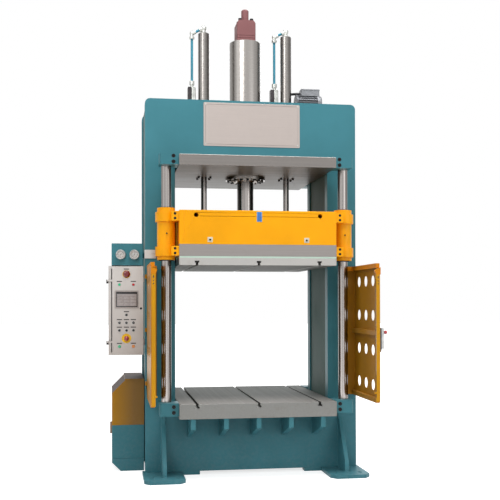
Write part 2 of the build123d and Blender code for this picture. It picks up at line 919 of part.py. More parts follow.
def control_cabinet():
    """The stainless enclosure, open at the front, its back panel and brackets to the upright."""
    face = -cabinet_front + door_thickness
    back = face + cabinet_depth
    panel_face = back - cabinet_sheet
    panel = block(-cabinet_left, -cabinet_right, panel_face, back, cabinet_bottom, cabinet_top)
    box = block(-cabinet_left, -cabinet_right, face, panel_face, cabinet_bottom, cabinet_top)
    cavity = block(-cabinet_left + cabinet_lip, -cabinet_right - cabinet_lip,
                   face - 1, face + cabinet_sheet,
                   cabinet_bottom + cabinet_lip, cabinet_top - cabinet_lip)
    cavity += block(-cabinet_left + cabinet_sheet, -cabinet_right - cabinet_sheet,
                    face + cabinet_sheet, panel_face + 1,
                    cabinet_bottom + cabinet_sheet, cabinet_top - cabinet_sheet)
    box -= cavity
    for z in (cabinet_bottom + cabinet_bracket_inset, cabinet_top - cabinet_bracket_inset):
        box += upright_bracket(-cabinet_right, z)
    for z in cabinet_hinge_z:
        box += fixed_cabinet_hinge(z)
    return [box, panel]


def upright_bracket(x_from, z):
    """A welded bracket from the left upright out to a box beside it."""
    y0 = -inner_depth / 2 + cabinet_bracket_gap
    half = cabinet_bracket_size / 2
    return block(x_from, -wall_outer_x, y0, y0 + cabinet_bracket_size, z - half, z + half)


def cabinet_hinge_axis():
    return (-cabinet_left - hinge_offset, -cabinet_front + door_thickness / 2)


def fixed_cabinet_hinge(z):
    """The lower half of a hinge, on the enclosure's left side."""
    x, y = cabinet_hinge_axis()
    half = upright(x, y, z - hinge_barrel_length, z - seat_gap, hinge_barrel_radius)
    leaf = block(x - 3, -cabinet_left, y, -cabinet_front + door_thickness + 40,
                 z - hinge_barrel_length, z - seat_gap)
    pin = upright(x, y, z - seat_gap, z + hinge_barrel_length - 8, 4)
    return half + leaf + pin


def cabinet_door():
    """The door sheet with folded edges, cut-outs and its hinge halves."""
    front = -cabinet_front
    back = front + door_thickness - 2 * seat_gap
    x0 = -cabinet_left + door_inset
    x1 = -cabinet_right
    low = cabinet_bottom + door_margin
    high = cabinet_top - door_margin
    door = block(x0, x1, front, back, low, high)
    door = fillet(door.edges().filter_by(Axis.Y), 5)
    door -= block(x0 + door_sheet, x1 - door_sheet, front + door_sheet, back + 1,
                  low + door_sheet, high - door_sheet)
    for x, z, radius in panel_holes():
        door -= crosswise(x, z, front - 1, front + door_sheet + 1, radius)
    door -= block(-screen_left + screen_cutout_inset, -screen_right - screen_cutout_inset,
                  front - 1, front + door_sheet + 1,
                  screen_bottom + screen_cutout_inset, screen_top - screen_cutout_inset)
    hinge_x, hinge_y = cabinet_hinge_axis()
    for z in cabinet_hinge_z:
        knuckle = upright(hinge_x, hinge_y, z, z + hinge_barrel_length, hinge_barrel_radius)
        arm = block(hinge_x, x0 + door_sheet, front, front + 5, z, z + hinge_barrel_length)
        arm += block(hinge_x - 3, hinge_x + 3, front, hinge_y, z, z + hinge_barrel_length)
        knuckle += arm
        knuckle -= upright(hinge_x, hinge_y, z - 1, z + hinge_barrel_length - 6, 4 + running_fit)
        door += knuckle
    return door


def button_places():
    """Names and places of the push buttons."""
    left, middle, right = button_column_x
    places = {
        "start_button": (-left, top_row_z),
        "stop_button": (-right, top_row_z),
        "reset_button": (-middle, single_row_z),
        "jog_button_left": (-left, jog_row_z),
        "jog_button_middle": (-middle, jog_row_z),
        "jog_button_right": (-right, jog_row_z),
    }
    return places


def selector_places():
    """Names and places of the turning selectors."""
    left, middle, right = button_column_x
    return {
        "selector_left": (-left, selector_row_z),
        "selector_middle": (-middle, selector_row_z),
        "selector_right": (-right, selector_row_z),
    }


def estop_places():
    middle = button_column_x[1]
    return {"estop_upper": (-middle, estop_z[0]), "estop_lower": (-middle, estop_z[1])}


def lamp_places():
    left, middle, right = button_column_x
    return [(-left, lamp_row_z), (-right, lamp_row_z)]


def panel_holes():
    """Place and radius of each round hole in the cabinet door."""
    radius = button_stem_diameter / 2 + bolt_clearance
    places = list(button_places().values()) + list(selector_places().values()) + lamp_places()
    holes = [(x, z, radius) for x, z in places]
    radius = estop_stem_diameter / 2 + bolt_clearance
    return holes + [(x, z, radius) for x, z in estop_places().values()]


def button_rings():
    """Bezels of the buttons and lamps, the emergency stop discs and the bare legend plates."""
    front = -cabinet_front
    rings = []
    small = list(button_places().values()) + list(selector_places().values())
    for x, z in small:
        ring = crosswise(x, z, front - button_ring_height, front, button_ring_diameter / 2)
        ring -= crosswise(x, z, front - button_ring_height - 1, front + 1,
                          button_cap_diameter / 2 + seat_gap)
        rings.append(ring)
        rings.append(legend(x, z + label_rise))
    for (x, z), diameter in zip(estop_places().values(), estop_disc_diameter):
        disc = crosswise(x, z, front - estop_disc_thickness, front, diameter / 2)
        disc += crosswise(x, z, front - estop_collar_height, front, estop_collar_diameter / 2)
        disc -= crosswise(x, z, front - estop_collar_height - 1, front + 1,
                          estop_stem_diameter / 2 + seat_gap)
        rings.append(disc)
    x, z = estop_places()["estop_upper"]
    rings.append(legend(x, z + estop_label_rise))
    return rings


def legend(x, z):
    front = -cabinet_front
    return block(x - label_width / 2, x + label_width / 2, front - label_thickness, front,
                 z - label_height / 2, z + label_height / 2)


def pilot_lamps():
    """Two lamps with domed lenses."""
    front = -cabinet_front
    lamps = []
    for x, z in lamp_places():
        lens = turned(
            (0, 0), (button_ring_diameter / 2, 0), (button_ring_diameter / 2, 6), (12, 12),
            (6, 14), (0, 14),
        )
        stem = Pos(0, 0, -12) * Cylinder(button_stem_diameter / 2, 24)
        lamps.append(Pos(x, front, z) * Rot(90, 0, 0) * (lens + stem))
        lamps.append(legend(x, z + label_rise))
    return lamps


def push_button(x, z):
    """A flat push button cap on its stem, at rest."""
    front = -cabinet_front
    cap_back = front - button_travel - 2
    cap = crosswise(x, z, cap_back - button_cap_height, cap_back, button_cap_diameter / 2)
    cap += crosswise(x, z, cap_back, front + button_stem_length, button_stem_diameter / 2)
    return chamfer(cap.edges().filter_by(GeomType.CIRCLE).sort_by(Axis.Y)[0], 1)


def selector_knob(x, z):
    """A selector with a raised grip bar."""
    front = -cabinet_front
    knob = crosswise(x, z, front - button_ring_height - 4, front - 1, button_cap_diameter / 2)
    knob += crosswise(x, z, front - 2, front + button_stem_length, button_stem_diameter / 2)
    tip = front - button_ring_height - 14
    knob += block(x - 3.5, x + 3.5, tip, front - button_ring_height, z - 12, z + 12)
    return knob


def estop_button(x, z, diameter):
    """A mushroom head on its stem, at rest."""
    front = -cabinet_front
    base = estop_collar_height + estop_travel + 2
    radius = diameter / 2
    head = turned(
        (0, base), (radius - 4, base), (radius, base + 4), (radius, base + 10),
        (radius - 8, base + estop_head_height - 3), (radius - 16, base + estop_head_height),
        (0, base + estop_head_height),
    )
    stem = Pos(0, 0, base / 2) * Cylinder(estop_stem_diameter / 2, base)
    stem += Pos(0, 0, -button_stem_length / 2) * Cylinder(button_stem_diameter / 2, button_stem_length)
    return Pos(x, front, z) * Rot(90, 0, 0) * (head + stem)


def operator_screen():
    """The panel computer: a bezel with a raised frame and its case behind the door."""
    front = -cabinet_front
    x0 = -screen_left
    x1 = -screen_right
    body = block(x0, x1, front - screen_bezel_thickness, front, screen_bottom, screen_top)
    body = fillet(body.edges().filter_by(Axis.Y), 8)
    bezel = front - screen_bezel_thickness
    body -= block(x0 + screen_frame, x1 - screen_frame, bezel - 1, bezel + screen_recess,
                  screen_bottom + screen_frame, screen_top - screen_frame)
    body += block(x0 + screen_case_inset, x1 - screen_case_inset, front, front + screen_case_depth,
                  screen_bottom + screen_case_inset, screen_top - screen_case_inset)
    return body


def gauge_box():
    """The painted box that carries the two pressure gauges."""
    face = -cabinet_front
    x0 = -gauge_box_left
    x1 = -gauge_box_right
    box = block(x0, x1, face, face + cabinet_depth, gauge_box_bottom, gauge_box_top)
    box = fillet(box.edges().filter_by(Axis.Y), 6)
    for x in gauge_x:
        box -= crosswise(-x, gauge_z, face - 1, face + 12, 16)
    return box + upright_bracket(x1, gauge_z)


def gauge_case():
    """A round gauge case facing the front, with its dial recessed, at X = 0 and Z = 0."""
    radius = gauge_diameter / 2
    depth = gauge_case_depth
    dial = depth - gauge_glass_recess
    case = turned(
        (0, -12), (15, -12), (15, 0), (radius - 4, 0), (radius, 4), (radius, depth - 3),
        (radius - 3, depth), (radius - 7, depth), (radius - 8, dial), (4 + running_fit, dial),
        (4 + running_fit, dial - 6), (0, dial - 6),
    )
    return Rot(90, 0, 0) * case


def pressure_gauges():
    case = gauge_case()
    return [Pos(-x, -cabinet_front, gauge_z) * case for x in gauge_x]


def gauge_needle(x):
    """A needle on its arbor, pointing at zero on the lower left of the dial."""
    dial = gauge_case_depth - gauge_glass_recess
    arbor = Pos(0, 0, dial) * Cylinder(4, 9)
    hub = Pos(0, 0, dial + 3) * Cylinder(needle_hub_diameter / 2, 3)
    pointer = outline(
        (-needle_width / 2, 0), (0, needle_length), (needle_width / 2, 0), (needle_width * 0.7, -12),
        (-needle_width * 0.7, -12),
    )
    pointer = Pos(0, 0, dial + 2) * extrude(Rot(0, 0, 135) * pointer, needle_thickness)
    return Pos(-x, -cabinet_front, gauge_z) * Rot(90, 0, 0) * (arbor + hub + pointer)


def oil_tank():
    """The oil tank on the floor: a welded box with a sloping lower corner and a skirt."""
    front = -tank_front
    section = outline(
        (-tank_left + tank_foot_chamfer, 0), (-tank_right, 0), (-tank_right, tank_split_z),
        (-tank_left, tank_split_z), (-tank_left, tank_foot_chamfer),
    )
    tank = front_profile(section, front, tank_length)
    tank -= block(-foot_outside - tank_foot_gap, -tank_right + 1, foot_back - tank_foot_gap,
                  front + tank_length + 1, -1, foot_thickness + tank_foot_gap)
    band = block(-tank_left - 1, -tank_right + 1, front - 1, front + tank_wall, tank_skirt_height,
                 tank_skirt_height + 6)
    return tank - band


def tank_cover():
    """The sheet cover over the pump set, with a sloping shoulder and a lip round its top."""
    front = -tank_front
    x0 = -tank_left
    x1 = -tank_right
    top = tank_top - cover_lip_height
    section = outline(
        (x0, tank_split_z), (x1, tank_split_z), (x1, top), (x0 + cover_chamfer, top),
        (x0, top - cover_chamfer),
    )
    cover = front_profile(section, front, tank_length)
    cavity = outline(
        (x0 + tank_wall, tank_split_z - 1), (x1 - tank_wall, tank_split_z - 1),
        (x1 - tank_wall, top - tank_wall), (x0 + cover_chamfer + 2, top - tank_wall),
        (x0 + tank_wall, top - cover_chamfer - 2),
    )
    cover -= front_profile(cavity, front + tank_wall, tank_length - 2 * tank_wall)
    lip = block(x0 + cover_chamfer - cover_lip_proud, x1, front - cover_lip_proud,
                front + tank_length, top, tank_top)
    latch_front = front + latch_setback
    latch = block(x0 - latch_proud, x0, latch_front, latch_front + latch_width,
                  latch_z, latch_z + latch_height)
    return cover + lip + fillet(latch.edges().filter_by(Axis.Y), 5)


def knuckles(x, z_low, z_high, radius):
    """A hinge knuckle of a side guard."""
    return upright(x, -guard_hinge_y, z_low, z_high, radius)


def hinge_post():
    """The right guard's post on the portal, with the fixed knuckles and pins."""
    front = -frame_depth / 2
    post = block(post_inside, guard_hinge_x - guard_hinge_radius - 5, front - post_thickness, front,
                 guard_bottom, guard_top)
    for z in guard_hinge_z:
        low = z - guard_knuckle
        high = z - seat_gap
        post += knuckles(guard_hinge_x, low, high, guard_hinge_radius)
        post += block(guard_hinge_x - 20, guard_hinge_x, -guard_hinge_y, front - 1, low, high)
        post += knuckles(guard_hinge_x, z - seat_gap, z + guard_knuckle - 8, guard_hinge_pin)
    return post


def hinge_posts():
    return both_sides(hinge_post())


def guard_leaf():
    """The right guard: a folded tray with round holes, rails and its own knuckles."""
    x1 = guard_outside
    x0 = x1 - guard_depth
    front = -guard_front
    back = -guard_back
    leaf = block(x0, x1, front, back, guard_bottom, guard_top)
    leaf = fillet(leaf.edges().filter_by(Axis.X), 6)
    leaf -= block(x0 - 1, x1 - guard_sheet, front + guard_sheet, back - guard_sheet,
                  guard_bottom + guard_sheet, guard_top - guard_sheet)
    leaf -= block(x0 - 1, x1 - guard_sheet, front - 1, front + guard_sheet + 1,
                  light_bar_top, guard_top + 1)
    leaf += block(x1 - guard_stile_width, x1, back - guard_sheet, back, guard_bottom, guard_top)
    leaf += block(x1 - guard_stile_width, x1, back - guard_depth, back,
                  guard_top - guard_rail_width, guard_top)
    rail_low = (guard_bottom, (guard_bottom + guard_top - guard_rail_width) / 2,
                guard_top - guard_rail_width)
    for z in rail_low:
        leaf += block(x0, x1 - guard_sheet, front + guard_sheet, back - guard_sheet,
                      z, z + guard_rail_width)
    leaf += bar_bracket()
    for column in range(guard_hole_columns):
        y = back - guard_hole_inset - column * guard_hole_step
        for row in range(guard_hole_rows):
            z = guard_hole_first_z + row * guard_hole_pitch
            leaf -= lengthwise(y, z, x0 - 1, x1 + 1, guard_hole_diameter / 2)
    for z in guard_hinge_z:
        high = z + guard_knuckle
        knuckle = knuckles(guard_hinge_x, z, high, guard_hinge_radius)
        knuckle += block(x1, guard_hinge_x + guard_hinge_radius, back - 24, -guard_hinge_y, z, high)
        knuckle -= knuckles(guard_hinge_x, z - 1, high - 6, guard_hinge_pin + running_fit)
        leaf += knuckle
    return leaf


def bar_bracket():
    """The wedge on the right guard's free edge that holds the light bar's upper end."""
    low = light_bar_top + seat_gap
    root = guard_outside
    tip = root - guard_bracket_width
    section = outline(
        (root, low), (root, light_bar_top + guard_bracket_rise),
        (tip, light_bar_top + guard_bracket_tip_rise), (tip + bar_foot_reach, low),
    )
    return front_profile(section, -guard_front - light_bar_depth, light_bar_depth + guard_sheet)


def light_bar():
    """The right guard's light curtain bar with its lower foot, on the guard's free edge."""
    x1 = guard_outside - 5
    x0 = x1 - light_bar_width
    front = -guard_front
    bar = block(x0, x1, front - light_bar_depth, front, light_bar_bottom, light_bar_top)
    bar = fillet(bar.edges().filter_by(Axis.Z), 4)
    window = light_bar_window / 2
    middle = front - light_bar_depth / 2
    bar -= block(x0 - 1, x0 + 2, middle - window, middle + window,
                 light_bar_bottom + 40, light_bar_top - 40)
    foot_low = light_bar_bottom + bar_foot_rise
    foot_half = bar_foot_width / 2
    bar += block(x0 - bar_foot_reach, x0, middle - foot_half, middle + foot_half,
                 foot_low, foot_low + bar_foot_height)
    return bar


def guard_latch():
    """The lock body and the keeper plate on the outside of the right guard."""
    x0 = guard_outside
    half = latch_body_width / 2
    y = -latch_body_y
    side = outline(
        (y - half, latch_body_bottom + 30), (y - half + 14, latch_body_bottom),
        (y + half, latch_body_bottom), (y + half, latch_body_top), (y - half, latch_body_top),
    )
    body = side_profile(side, x0, latch_body_depth)
    plate = block(x0 + latch_body_depth, x0 + latch_body_depth + keeper_thickness,
                  y - half + 8, y + half - 8, keeper_bottom, latch_body_top)
    plate = fillet(plate.edges().filter_by(Axis.Y), 5)
    bore = 6 + running_fit
    body -= lengthwise(y, knob_z, x0 + 4, x0 + latch_body_depth + 1, bore)
    plate -= lengthwise(y, knob_z, x0, x0 + latch_body_depth + keeper_thickness + 1, bore)
    return [body, plate]


def latch_knob():
    """The ball knob on its bolt, which pulls outward."""
    x0 = guard_outside
    face = x0 + latch_body_depth + keeper_thickness
    y = -latch_body_y
    radius = knob_diameter / 2
    bolt = lengthwise(y, knob_z, x0 + 4 + seat_gap, face + 6, 6)
    return bolt + Pos(face + 2 + radius, y, knob_z) * Sphere(radius)


def slide_beam():
    """The welded slide: a ribbed box, open below, with lifting holes in both faces."""
    half_x = table_width / 2
    half_y = table_depth / 2
    beam = block(-half_x, half_x, -half_y, half_y, beam_bottom, beam_top)
    beam = chamfer(beam.faces().sort_by(Axis.Z)[-1].edges(), 4)
    cell_x = (table_width - 2 * beam_wall - (beam_cell_count_x - 1) * beam_rib) / beam_cell_count_x
    cell_y = (table_depth - 2 * beam_wall - (beam_cell_count_y - 1) * beam_rib) / beam_cell_count_y
    cell_height = beam_height - beam_wall
    cell = Box(cell_x, cell_y, cell_height)
    for column in range(beam_cell_count_x):
        for row in range(beam_cell_count_y):
            x = -half_x + beam_wall + cell_x / 2 + column * (cell_x + beam_rib)
            y = -half_y + beam_wall + cell_y / 2 + row * (cell_y + beam_rib)
            beam -= Pos(x, y, beam_bottom + cell_height / 2) * cell
    inside = half_y - beam_wall
    for x in (-lifting_hole_x, lifting_hole_x):
        z = beam_top - lifting_hole_drop
        beam -= crosswise(x, z, -half_y - 1, half_y + 1, lifting_hole_diameter / 2)
        beam -= crosswise(x, z, -inside, inside, lifting_passage_diameter / 2)
    return beam


def bolster_plate():
    half_x = table_width / 2
    half_y = table_depth / 2
    return block(-half_x, half_x, -half_y, half_y, bolster_bottom, beam_bottom)


def insulation_board():
    half_x = table_width / 2
    half_y = table_depth / 2
    return block(-half_x, half_x, -half_y, half_y, platen_top, bolster_bottom)


def platen():
    """The upper working plate with three T-slots in its lower face."""
    plate = working_plate(platen_thickness) - slot_row()
    return Pos(0, 0, slide_rest_z) * Rot(180, 0, 0) * plate


def ram():
    """The ram with its foot flange and its piston."""
    radius = ram_diameter / 2
    foot = ram_foot_diameter / 2
    piston = barrel_bore / 2 - running_fit
    top = piston_bottom + piston_height
    return turned(
        (0, beam_top), (foot, beam_top), (foot, beam_top + ram_foot_height),
        (radius, beam_top + ram_foot_height), (radius, piston_bottom), (piston, piston_bottom),
        (piston, top), (0, top),
    )


def side_rods():
    """The two return rods with their foot nuts and pistons."""
    radius = side_rod_diameter / 2
    nut = rod_nut_diameter / 2
    piston = side_barrel_bore / 2 - running_fit
    rod = turned(
        (0, beam_top), (nut, beam_top), (nut, beam_top + rod_nut_height),
        (radius, beam_top + rod_nut_height), (radius, side_piston_bottom),
        (piston, side_piston_bottom), (piston, side_piston_top), (0, side_piston_top),
    )
    return [Pos(-side_cylinder_x, 0, 0) * rod, Pos(side_cylinder_x, 0, 0) * rod]


def collar(z_low):
    """One collar of a guide housing with its neck to the slide, at front right."""
    z_high = z_low + collar_height
    x0 = table_width / 2
    neck = block(x0, column_x, -column_y - collar_neck_half_depth,
                 -column_y + collar_neck_half_depth, z_low, z_high)
    neck += block(x0, x0 + collar_ear_width, -collar_front, -column_y, z_low, z_high)
    return neck + upright(column_x, -column_y, z_low, z_high, collar_diameter / 2)


def collar_bolt_heights():
    """Heights of the pinch bolts of both collars."""
    spread = bolt_heights(collar_height, collar_bolt_spacing)
    return [low + rise for low in collar_levels() for rise in spread]


def collar_levels():
    """Lower faces of the two collars."""
    upper = beam_top - upper_collar_drop - collar_height + 28
    return (housing_bottom + lower_collar_rise, upper)


def guide_housing():
    """The housing at front right: a tube with two collars, bored for its bushes."""
    body = upright(column_x, -column_y, housing_bottom, housing_top, housing_diameter / 2)
    for z in collar_levels():
        body += collar(z)
    bore = column_diameter / 2 + 4
    body -= upright(column_x, -column_y, housing_bottom - 1, housing_top + 1, bore)
    for z0, z1 in bush_spans():
        body -= upright(column_x, -column_y, z0, z1, bush_diameter / 2)
    x = column_x - collar_bolt_x
    front = -collar_front
    for z in collar_bolt_heights():
        body -= crosswise(x, z, front - 1, front + small_bolt, small_head / 2 + bolt_clearance)
        body -= crosswise(x, z, front, front + collar_hole_depth, small_bolt / 2 + bolt_clearance)
    return body


def bush_spans():
    """Lower and upper ends of the two bushes in a housing."""
    low = (housing_bottom + 4, housing_bottom + 4 + bush_length)
    high = (housing_top - 4 - bush_length, housing_top - 4)
    return (low, high)


def guide_housings():
    return four_corners(guide_housing())


def guide_bushes():
    """Bronze bushes that run on the columns."""
    bushes = []
    for z0, z1 in bush_spans():
        bush = upright(column_x, -column_y, z0, z1, bush_diameter / 2)
        bush -= upright(column_x, -column_y, z0 - 1, z1 + 1, column_diameter / 2 + running_fit)
        bushes += four_corners(bush)
    return bushes


def slide_bolts():
    """The black pinch bolts of the slide's collars."""
    screws = []
    shank = collar_hole_depth - small_bolt - bolt_end_gap
    for z in collar_bolt_heights():
        screw = cap_screw(small_bolt / 2, shank, small_head / 2)
        place = Pos(column_x - collar_bolt_x, -collar_front + small_bolt, z) * Rot(90, 0, 0)
        screws += four_corners(place * screw)
    return screws + grease_nipples()


def grease_nipples():
    """A small nipple on the outer face of each housing, at mid height."""
    face = -column_y - housing_diameter / 2
    middle = (housing_bottom + housing_top) / 2
    nipple = crosswise(column_x, middle, face - nipple_length, face + 3, nipple_diameter / 2)
    nipple += crosswise(column_x, middle, face - nipple_length / 2, face + 3, nipple_diameter * 0.8)
    return four_corners(nipple - guide_housing())


def all_pieces():
    """Every sub-part by its node name."""
    pieces = {
        "front_portal": portal_plate(),
        "rear_portal": flip_y(portal_plate()),
        "upright_walls": upright_walls(),
        "crown_box": crown_box(),
        "bed_box": bed_box(),
        "crown_plate": crown_plate(),
        "table": table(),
        "table_ribs": table_ribs(),
        "guide_columns": guide_columns(),
        "column_clamps": column_clamps(),
        "foot_plates": foot_plates(),
        "frame_bolts": frame_bolts(),
        "main_cylinder": main_cylinder(),
        "gland_ring": gland_ring(),
        "prefill_valve": prefill_valve(),
        "side_cylinders": side_cylinders(),
        "hose_fittings": hose_fittings(),
        "transfer_pipes": transfer_pipes(),
        "circulation_motor": circulation_motor(),
        "motor_conduit": motor_conduit(),
        "nameplate": nameplate(),
        "limit_rail": limit_rail(),
        "control_cabinet": control_cabinet(),
        "cabinet_door": cabinet_door(),
        "operator_screen": operator_screen(),
        "button_rings": button_rings(),
        "pilot_lamps": pilot_lamps(),
        "gauge_box": gauge_box(),
        "pressure_gauges": pressure_gauges(),
        "oil_tank": oil_tank(),
        "tank_cover": tank_cover(),
        "hinge_posts": hinge_posts(),
        "right_guard": guard_leaf(),
        "left_guard": flip_x(guard_leaf()),
        "right_light_bar": light_bar(),
        "left_light_bar": flip_x(light_bar()),
        "guard_latch": guard_latch(),
        "latch_knob": latch_knob(),
        "slide_beam": slide_beam(),
        "bolster_plate": bolster_plate(),
        "insulation_board": insulation_board(),
        "platen": platen(),
        "ram": ram(),
        "side_rods": side_rods(),
        "guide_housings": guide_housings(),
        "guide_bushes": guide_bushes(),
        "slide_bolts": slide_bolts(),
        "left_gauge_needle": gauge_needle(gauge_x[0]),
        "right_gauge_needle": gauge_needle(gauge_x[1]),
    }
    for name, place in button_places().items():
        pieces[name] = push_button(*place)
    for name, place in selector_places().items():
        pieces[name] = selector_knob(*place)
    for (name, place), diameter in zip(estop_places().items(), estop_head_diameter):
        pieces[name] = estop_button(*place, diameter)
    return pieces


os.makedirs("parts", exist_ok=True)
for name, shape in all_pieces().items():
    group = Compound(children=shape) if isinstance(shape, list) else shape
    export_step(group, f"parts/{name}.step")
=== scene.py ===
import bmesh
import bpy
import math
import random
from mathutils import Matrix, Vector


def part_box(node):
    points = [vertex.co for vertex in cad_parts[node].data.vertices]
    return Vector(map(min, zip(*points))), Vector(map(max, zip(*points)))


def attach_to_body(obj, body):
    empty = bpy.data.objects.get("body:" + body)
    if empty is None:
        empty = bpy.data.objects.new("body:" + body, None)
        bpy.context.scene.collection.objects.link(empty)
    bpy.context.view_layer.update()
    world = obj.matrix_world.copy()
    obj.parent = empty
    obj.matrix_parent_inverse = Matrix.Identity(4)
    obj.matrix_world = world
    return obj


# A four-column hydraulic press dressed for rendering. All sizes are in metres.
# Origin: centre of the machine at floor level. X runs to the right, Y to the back, Z up.

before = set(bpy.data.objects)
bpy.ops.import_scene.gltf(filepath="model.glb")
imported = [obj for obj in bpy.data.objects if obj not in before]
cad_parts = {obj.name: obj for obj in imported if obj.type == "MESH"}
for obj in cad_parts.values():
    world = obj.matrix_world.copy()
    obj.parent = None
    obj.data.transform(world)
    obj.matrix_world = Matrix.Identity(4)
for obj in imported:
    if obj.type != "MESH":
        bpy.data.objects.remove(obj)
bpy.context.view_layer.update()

# Bodies that the pieces ride on
FRAME = "press_frame"
SLIDE = "slide"
DOOR = "door"
LEFT_LEAF = "left_guard_leaf"
RIGHT_LEAF = "right_guard_leaf"

# Places that the pieces share, read from the solids
door_low, door_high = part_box("cabinet_door")
case_low, case_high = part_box("pressure_gauges")
lamps_low, lamps_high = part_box("pilot_lamps")
plate_low, plate_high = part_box("nameplate")
beam_low, beam_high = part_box("slide_beam")
housings_low, housings_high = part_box("guide_housings")
table_low, table_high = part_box("table")
screen_low, screen_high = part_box("operator_screen")
motor_low, motor_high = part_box("circulation_motor")
tank_low, tank_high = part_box("oil_tank")
ribs_low, ribs_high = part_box("table_ribs")
columns_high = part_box("guide_columns")[1]
cover_plate_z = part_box("crown_box")[1].z
guard_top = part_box("right_guard")[1].z
portal_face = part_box("front_portal")[0].y
door_face = door_low.y

# Sizes of the machine that the boxes don't give
CABINET_LEFT = -1.400
COLUMN_RADIUS = 0.0475
COLUMN_X = columns_high.x - COLUMN_RADIUS
COLUMN_Y = columns_high.y - COLUMN_RADIUS
ROD_X = 0.43
DARK_VALVE_X = 0.1485
DARK_VALVE_HALF = 0.017
DARK_VALVE_RISE = 0.25
FOOT_TOP = 0.035
GUSSET_X = COLUMN_X + 0.019
GUSSET_HALF = 0.020
GUSSET_TOE_Y = 0.734
GUSSET_TOP = table_high.z - 0.130
GUSSET_WELD = 0.0055
RIB_COUNT = 5
RIB_HALF = 0.022
RIB_WELD = 0.005
VALVE_SCREW = 0.060
VALVE_SCREW_REACH = 0.0185
VALVE_TOP = 4.578
GUARD_FRONT = -1.2972
GUARD_BACK = -0.4795
GUARD_BAND = 0.0415
KEEPER_X = 1.0572

# Controls on the panel. A reach is a radius and a little more.
ESTOP_COLLAR_REACH = 0.022
ESTOP_DISC_REACH = 0.047
ESTOP_DISC_TOP = 0.044
BEZEL_RADIUS = 0.0155
BEZEL_REACH = 0.0162
LAMP_BEZEL_HEIGHT = 0.0061
SMALL_CONTROLS = ("start_button", "stop_button", "reset_button", "jog_button_left", "jog_button_middle",
                  "jog_button_right", "selector_left", "selector_middle", "selector_right")

# Gauge dials, with the scale's angles in degrees
GAUGE_RADIUS = 0.047
DIAL_RADIUS = 0.0388
DIAL_RECESS = 0.008
DIAL_HOLE = 0.0045
SCALE_START = 225
SCALE_SWEEP = 270
SCALE_RADIUS = 0.0335
BAND_INNER = 0.0245
BAND_OUTER = 0.0310
NUMBER_RADIUS = 0.0215
NUMBER_SIZE = 0.0068
PANE_OUT = 0.0062

# Operator screen
SCREEN_RIM = 0.0132
KEY_GAP = 0.006
KEY_COUNT = 3
HEADER_ROOM = 0.020

# Slide front: corners of its bare plates in X and Z
SIGN_LOW, SIGN_HIGH = (-0.020, 2.434), (0.030, 2.529)
BLUE_LOW, BLUE_HIGH = (-0.015, 2.439), (0.025, 2.524)
LABEL_FOOT, LABEL_TOP = 2.239, 2.287
LABEL_HALF = 0.024
SEAM_X = -0.705

# Motor
SHAFT_HEIGHT = 0.112
COWL_START = 0.240
GRILLE_OUT = 0.0285
GRILLE_RINGS = (0.012, 0.024, 0.036, 0.048, 0.060)
SPOKE_COUNT = 6
SPOKE_REACH = 0.062
TERMINAL_BOX_START = 0.053
TERMINAL_BOX_DEPTH = 0.064
LID_HALF = 0.057
LID_LIP = 0.002

# Light bars, with each window's drop from the bar's top and its height
BAR_FOOT = 0.014
LENS_HALF = 0.0105
LENS_END = 0.0405
WINDOW_INSET = 0.018
WINDOW_HALF = 0.004
BAR_WINDOWS = ((0.014, 0.022), (0.052, 0.012), (0.078, 0.012))

# Turned profiles as (radius, height) pairs
WIPER = [(0.0477, 0), (0.0665, 0), (0.0665, 0.005), (0.060, 0.0075), (0.0495, 0.009), (0.0477, 0.007),
         (0.0477, 0)]
SCREW_HEAD = [(0, 0), (0.0075, 0), (0.0072, 0.0016), (0.005, 0.0030), (0.0022, 0.0032), (0.0022, 0.0018),
              (0, 0.0018)]
LOCK_BOSS = [(0, 0), (0.011, 0), (0.011, 0.003), (0.009, 0.0055), (0.0048, 0.006), (0.0048, 0.0035),
             (0, 0.0035)]
LABEL_STUD = [(0, 0), (0.010, 0), (0.009, 0.003), (0.005, 0.005), (0, 0.0055)]
FAN_COWL = [(0.0905, -0.018), (0.0925, -0.018), (0.0925, 0.014), (0.084, 0.028), (0.060, 0.030),
            (0.060, 0.0275), (0.0825, 0.0255), (0.0905, 0.0125), (0.0905, -0.018)]

# A face that is NEAR to a plane counts as on it
NEAR = 0.0005

# Rounding of thin plates, and the way out of the machine's front
THIN_EDGE = 0.0004
FORWARD = (0, -1, 0)

# Fineness of ground lines that run along X or along Y
LINES_X = (1.6, 420.0, 420.0)
LINES_Y = (420.0, 1.6, 420.0)

# Paint and metal colours, as linear light
TEAL = (0.045, 0.183, 0.220)
WALL_GREY = (0.073, 0.130, 0.116)
SAFETY_YELLOW = (0.62, 0.215, 0.001)
# Painted shade: a darker copy of the safety yellow for a guard's sheet, flange and rails below its top band
SHADED_SHEET_YELLOW = (0.36, 0.160, 0.006)
COVER_YELLOW = (0.44, 0.20, 0.003)
# Painted light on the tank cover: its yellow is brightest at the left end and turns to this painted shade
# to the right
COVER_PAINTED_SHADE = (0.24, 0.125, 0.028)
COVER_TOP = (0.085, 0.062, 0.054)
SLIDE_YELLOW = (0.92, 0.385, 0.0005)
VALVE_RED = (0.19, 0.078, 0.080)
GROUND_STEEL = (0.43, 0.42, 0.40)
TABLE_STEEL = (0.20, 0.20, 0.19)
TABLE_TOP = (0.205, 0.196, 0.184)
# Painted shade: the table top, darker towards the back
TABLE_REAR_SHADE = (0.128, 0.138, 0.128)
CROWN_STEEL = (0.26, 0.24, 0.225)
# Painted shade: darker copies of the crown's and the platen's steel for their faces that look down
CROWN_UNDER_SHADE = (0.085, 0.086, 0.080)
PLATEN_UNDER_SHADE = (0.190, 0.192, 0.180)
BARREL_STEEL = (0.42, 0.40, 0.38)
CHROME = (0.40, 0.375, 0.36)
STAINLESS = (0.56, 0.53, 0.505)
# Painted shade: the cabinet's stainless, darker towards its foot
STAINLESS_FOOT_SHADE = (0.35, 0.31, 0.285)
BOARD_GREEN = (0.50, 0.66, 0.56)
